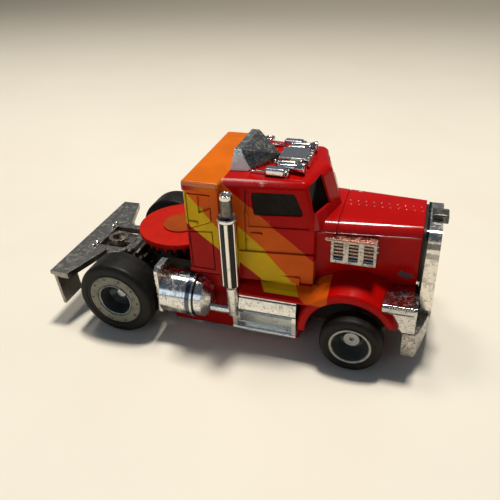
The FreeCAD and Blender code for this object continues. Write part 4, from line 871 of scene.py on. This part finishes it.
def stacks():
    """Mufflers with bright ribs and dark slots between, the slots' dark colour a painted reflection, on worn feet.
    """
    segments, ribs, rib_turn, rib_share = 120, 6, math.radians(81), 0.42
    slot_depth, end_depth, flank = 0.11, 0.04, 5.0
    foot_low, muffler_low, muffler_top, top = 5.55, 11.4, 22.4, 26.5
    bright, dark, worn, grey = range(4)

    def rib_wave(k, side):
        return math.cos(ribs * (2 * math.pi * k / segments - side * rib_turn))

    for side in (-1, 1):
        y = side * STACK_Y
        form = Form("stack_" + label(side), ["bright", "slot", "worn", "pipe"])
        levels = [(muffler_low, 0.0), (muffler_low + 0.08, 1.0), (muffler_top - 0.05, 1.0),
                  (muffler_top, 0.0)]
        rings = []
        for z, show in levels:
            ring = []
            for k in range(segments):
                angle = 2 * math.pi * k / segments
                rise = min(max((rib_wave(k, side) - rib_share + 0.1) * flank, 0.0), 1.0)
                radius = MUFFLER_R - slot_depth * (1 - rise) * show - end_depth * (1 - show)
                ring.append(form.place(STACK_X + radius * math.cos(angle), y + radius * math.sin(angle), z))
            rings.append(ring)
        for first, second in zip(rings, rings[1:]):
            for k in range(segments):
                n = (k + 1) % segments
                # Faces between the ribs take the dark look, a painted reflection
                on_rib = rib_wave(k + 0.5, side) > rib_share
                form.face([first[k], first[n], second[n], second[k]], bright if on_rib else dark)
        form.face(rings[0], worn)
        form.face(rings[-1], bright)
        flange = [(muffler_top - 0.02, 1.40, grey), (muffler_top + 0.05, 1.52, bright),
                  (muffler_top + 0.5, 1.52, bright), (muffler_top + 0.62, 1.40, grey),
                  (muffler_top + 0.4, 0.98, grey), (muffler_top + 0.4, 0.86, grey)]
        form.lathe((STACK_X, y, 0), (0, 0, 1), rounded(flange, 0.1, 2), 64, closed=False)
        pipe = [(muffler_top + 0.4, PIPE_R, grey), (top - 0.75, PIPE_R, grey),
                (top - 0.7, PIPE_R + 0.07, bright), (top - 0.05, PIPE_R + 0.02, bright),
                (top, PIPE_R - 0.1, bright), (top - 0.06, PIPE_R - 0.3, bright),
                (top - 0.3, PIPE_R - 0.34, grey), (top - 0.3, 0.05, grey)]
        form.lathe((STACK_X, y, 0), (0, 0, 1), rounded(pipe, 0.06, 2), 56, closed=False)
        foot = [(foot_low, 0.3, worn), (foot_low, 0.86, worn), (10.8, FOOT_R, worn),
                (11.0, FOOT_R + 0.25, bright), (11.42, FOOT_R + 0.4, bright)]
        form.lathe((STACK_X, y, 0), (0, 0, 1), rounded(foot, 0.15, 3), 48, closed=False)
        form.face([form.place(STACK_X + 0.3 * math.cos(a), y + 0.3 * math.sin(a), foot_low)
                   for a in (2 * math.pi * k / 12 for k in range(12))], worn)
        elbow = [(15.76, 0.1, worn), (15.76, 0.72, worn), (16.0, 0.74, worn), (STACK_X, 0.74, worn)]
        form.lathe((0, y, 6.3), (1, 0, 0), rounded(elbow, 0.08, 3), 40, closed=False)
        form.done("truck", "exhaust_stack_" + label(side), 28)


def hood_rivets():
    """Two rows of small rivets along the middle of the hood."""
    form = Form("hood_rivets", ["rivet"])
    count, pitch, fall = 10, 1.16, 0.04
    for y, start in ((1.2, 35.1), (-0.15, 35.35)):
        for k in range(count):
            centre = (start + pitch * k, y, HOOD_TOP - fall * abs(y) - 0.01)
            form.dome(centre, (0, 0, 1), 0.2, 0.15, 0, 12, 3)
    form.done("truck")


def bar_studs():
    """Round heads that fasten the hitch frame to the rear bar."""
    form = Form("bar_studs", ["bright"])
    for y in (-4.15, -2.95, 2.95, 4.15):
        form.lathe((-9.4, y, BAR_TOP - 0.02), (0, 0, 1),
                   rounded([(0.0, 0.5, 0), (0.16, 0.48, 0), (0.42, 0.34, 0), (0.52, 0.04, 0)], 0.15, 3), 20)
    form.done("truck")


def hitch_tray():
    """The tray under the hitch ring, with a clear hole for the pin."""
    form = Form("hitch_tray", ["chassis"])
    low, high, hole_r, steps = 7.95, 8.3, 1.35, 32
    back, front, half = -8.9, -1.7, 3.25
    rings = []
    for z in (low, high):
        outer, inner = [], []
        for k in range(steps):
            angle = 2 * math.pi * (k + 0.5) / steps
            c, d = math.cos(angle), math.sin(angle)
            reach = min(((front if c > 0 else back) - RING_X) / c, half / abs(d))
            outer.append(form.place(RING_X + reach * c, reach * d, z))
            inner.append(form.place(RING_X + hole_r * c, hole_r * d, z))
        rings.append((outer, inner))
    (low_out, low_in), (high_out, high_in) = rings
    form.band(low_out, high_out)
    form.band(high_out, high_in)
    form.band(high_in, low_in)
    form.band(low_in, low_out)
    form.done("truck")


def radiator_core():
    """The dark plate that closes the slit between the hood and the radiator's frame: a painted shadow in the slit.
    """
    form = Form("radiator_core", ["chassis"])
    half, low, top, turn, steps = 5.0, 12.2, 20.55, 1.5, 6
    outline = [(-half, low), (half, low)]
    for middle, quarter in ((half - turn, 0), (-half + turn, 1)):
        for k in range(steps + 1):
            angle = math.pi / 2 * (k / steps + quarter)
            outline.append((middle + turn * math.cos(angle), top - turn + turn * math.sin(angle)))
    back, front = ([form.place(x, y, z) for y, z in outline] for x in (46.24, 46.66))
    form.band(back, front)
    form.face(back)
    form.face(front)
    form.done("truck")


def lamp_ribs():
    """Short ribs along the outer edge of each lamp tray."""
    for side in (-1, 1):
        form = Form("lamp_ribs_" + label(side), ["bright"])
        count, run, half = 10, 3.2, 0.07
        for k in range(count):
            x = LAMP_TRAY_BACK + run * k / (count - 1)
            form.side_slab(side, (x - half, x + half), (10.55, 11.32), (11.3, 11.62), 0, 0.05)
        form.done("truck")


def cleaner_knobs():
    """The knobs at the ends of each air cleaner."""
    for side in (-1, 1):
        form = Form("cleaner_knobs_" + label(side), ["bright"])
        y = side * 7.5
        form.dome((33.12, y, 19.15), (-1, 0, 0), 0.26, 0.3, 0, 16, 4, foot=0.25)
        for z in (17.6, 18.5):
            form.dome((40.28, side * 7.0, z), (1, 0, 0), 0.2, 0.24, 0, 14, 4, foot=0.1)
        form.done("truck")


def door_details():
    """The hinges of each door."""
    for side in (-1, 1):
        form = Form("door_details_" + label(side), ["body"])
        for z in (18.2, 22.6):
            form.lathe((21.62, side * 9.22, z - 0.35), (0, 0, 1),
                       rounded([(0, 0.04, 0), (0, 0.13, 0), (0.7, 0.13, 0), (0.7, 0.04, 0)], 0.04, 2), 12)
        form.done("truck")


def bumper_slots():
    """Small dark slots near the ends of the bumper's face, shallow blocks whose dark colour is painted shade."""
    for side in (-1, 1):
        form = Form("bumper_slots_" + label(side), ["slot"])
        for k in range(2):
            y = 8.0 + 0.9 * k
            x = 47.3 + (9.7 - y) * 0.26
            form.side_slab(side, (x - 0.3, x + 0.02), (y, y + 0.45), (4.2, 4.9), 0, 0.05)
        form.done("truck")


def roof_fittings():
    """The set on the roof: a grained plate, round horns, lamps and their small fittings."""
    form = Form("roof_fittings", ["bright", "slot", "grain", "frosted"])
    seat = ROOF_SEAT
    bright, dark, grain, frosted = range(4)
    form.slab((24.55, -2.1, 28.15), (28.6, 2.1, 28.72), grain, 0.14)
    for k in range(5):
        y = -1.9 + 0.95 * k
        form.slab((28.2, y - 0.28, 27.9), (29.2, y + 0.28, 28.6), grain, 0.12)
    for side in (-1, 1):
        # The horns' mouths take the dark look inside: painted shade in the bells
        inner = [(-3.7, 0.1, bright), (-3.7, 0.34, bright), (-0.9, 0.42, bright), (-0.15, 0.72, bright),
                 (0.0, 0.74, bright), (0.0, 0.56, dark), (-0.5, 0.2, dark)]
        form.lathe((28.35, side * 2.95, seat + 0.85), (1, 0, 0), rounded(inner, 0.1, 2), 28, closed=False)
        outer = [(-4.1, 0.1, bright), (-4.1, 0.4, bright), (-1.2, 0.5, bright), (-0.3, 0.8, bright),
                 (0.0, 0.82, bright), (0.0, 0.62, dark), (-0.5, 0.2, dark)]
        form.lathe((29.1, side * 4.2, seat + 0.85), (1, 0, 0), rounded(outer, 0.1, 2), 28, closed=False)
        form.side_slab(side, (23.6, 26.6), (4.85, 6.25), (seat, 28.55), frosted, 0.28)
        form.side_slab(side, (26.4, 27.1), (5.0, 6.1), (seat + 0.1, 28.35), bright, 0.2)
        form.side_slab(side, (21.3, 23.9), (5.0, 5.45), (seat, seat + 0.4), bright, 0.12)
        for x, y, rise, radius, height, foot in (
                (25.3, 3.6, 1.0, 0.34, 0.4, 0.8), (24.3, 2.5, 0.6, 0.32, 0.5, 0.6),
                (27.4, 3.6, 1.1, 0.26, 0.3, 0.8)):
            form.dome((x, side * y, seat + rise), (0, 0, 1), radius, height, bright, 16, 5, foot)
    form.done("truck")


# Stage


FLOOR_REACH = 1.0
SKY_NEAR = (0.066, 0.08, 0.108, 1)
SKY_FAR = (0.145, 0.158, 0.18, 1)

# Lamps: place, aim and size in mm, power in watts, colour
LAMPS = {
    "key": ((35, 140, 583), (18, 0, 8), (80, 80), 2.85, (1.0, 0.97, 0.90)),
    "second": ((-141, 136, 462), (18, 0, 8), (120, 120), 0.5, (1.0, 0.93, 0.82)),
    "window": ((-78, -225, 78), (18, 0, 10), (150, 105), 0.052, (0.74, 0.87, 1.0)),
}


def make_stage():
    """A pale floor with painted shade that grows darker with distance."""
    mesh = bpy.data.meshes.new("floor")
    reach = FLOOR_REACH
    mesh.from_pydata([(-reach, -reach, 0), (reach, -reach, 0), (reach, reach, 0), (-reach, reach, 0)],
                     [], [(0, 1, 2, 3)])
    floor = bpy.data.objects.new("floor", mesh)
    look = Look("floor_paper")
    cloud = look.noise(30.0, 2.0, 0.5)
    color = look.mix(look.ramp(cloud, 0.3, 0.7), (0.93, 0.86, 0.72), (0.91, 0.83, 0.695))
    # Painted shade: the floor darkens towards the far side
    color = look.mix(look.ramp(look.y, 40.0, 330.0), color, (0.42, 0.37, 0.29))
    floor.data.materials.append(look.finish(Base_Color=color, Roughness=0.55, Specular_IOR_Level=0.3))
    bpy.context.scene.collection.objects.link(floor)


def make_world():
    """A dim bluish sky, brighter behind the truck."""
    world = bpy.data.worlds.new("studio")
    world.use_nodes = True
    tree = world.node_tree
    background = tree.nodes["Background"]
    coordinates = tree.nodes.new("ShaderNodeTexCoord")
    split = tree.nodes.new("ShaderNodeSeparateXYZ")
    tree.links.new(coordinates.outputs["Generated"], split.inputs[0])
    ramp = tree.nodes.new("ShaderNodeValToRGB")
    tree.links.new(split.outputs[1], ramp.inputs["Fac"])
    stops = ramp.color_ramp.elements
    stops[0].position, stops[0].color = 0.0, SKY_NEAR
    stops[1].position, stops[1].color = 0.75, SKY_FAR
    tree.links.new(ramp.outputs["Color"], background.inputs["Color"])
    background.inputs["Strength"].default_value = 1.0
    bpy.context.scene.world = world


def make_lamp(name, place, aim, size, energy, color):
    """A soft rectangular lamp."""
    lamp = bpy.data.lights.new(name, "AREA")
    lamp.energy = energy
    lamp.shape = "RECTANGLE"
    lamp.size, lamp.size_y = (value * MM for value in size)
    lamp.color = color
    lamp_object = bpy.data.objects.new(name, lamp)
    lamp_object.location = Vector(place) * MM + Vector((AXLE_X, 0, 0))
    target = Vector(aim) * MM + Vector((AXLE_X, 0, 0))
    lamp_object.rotation_euler = (target - lamp_object.location).to_track_quat("-Z", "Y").to_euler()
    bpy.context.scene.collection.objects.link(lamp_object)


make_camera()
make_stage()
make_world()
for lamp_name, settings in LAMPS.items():
    make_lamp(lamp_name, *settings)
dress_nodes()
tyres()
rear_rims()
front_rims()
front_rod()
stacks()
hood_rivets()
bar_studs()
hitch_tray()
radiator_core()
lamp_ribs()
cleaner_knobs()
door_details()
bumper_slots()
roof_fittings()
bpy.context.scene.view_settings.view_transform = "Standard"
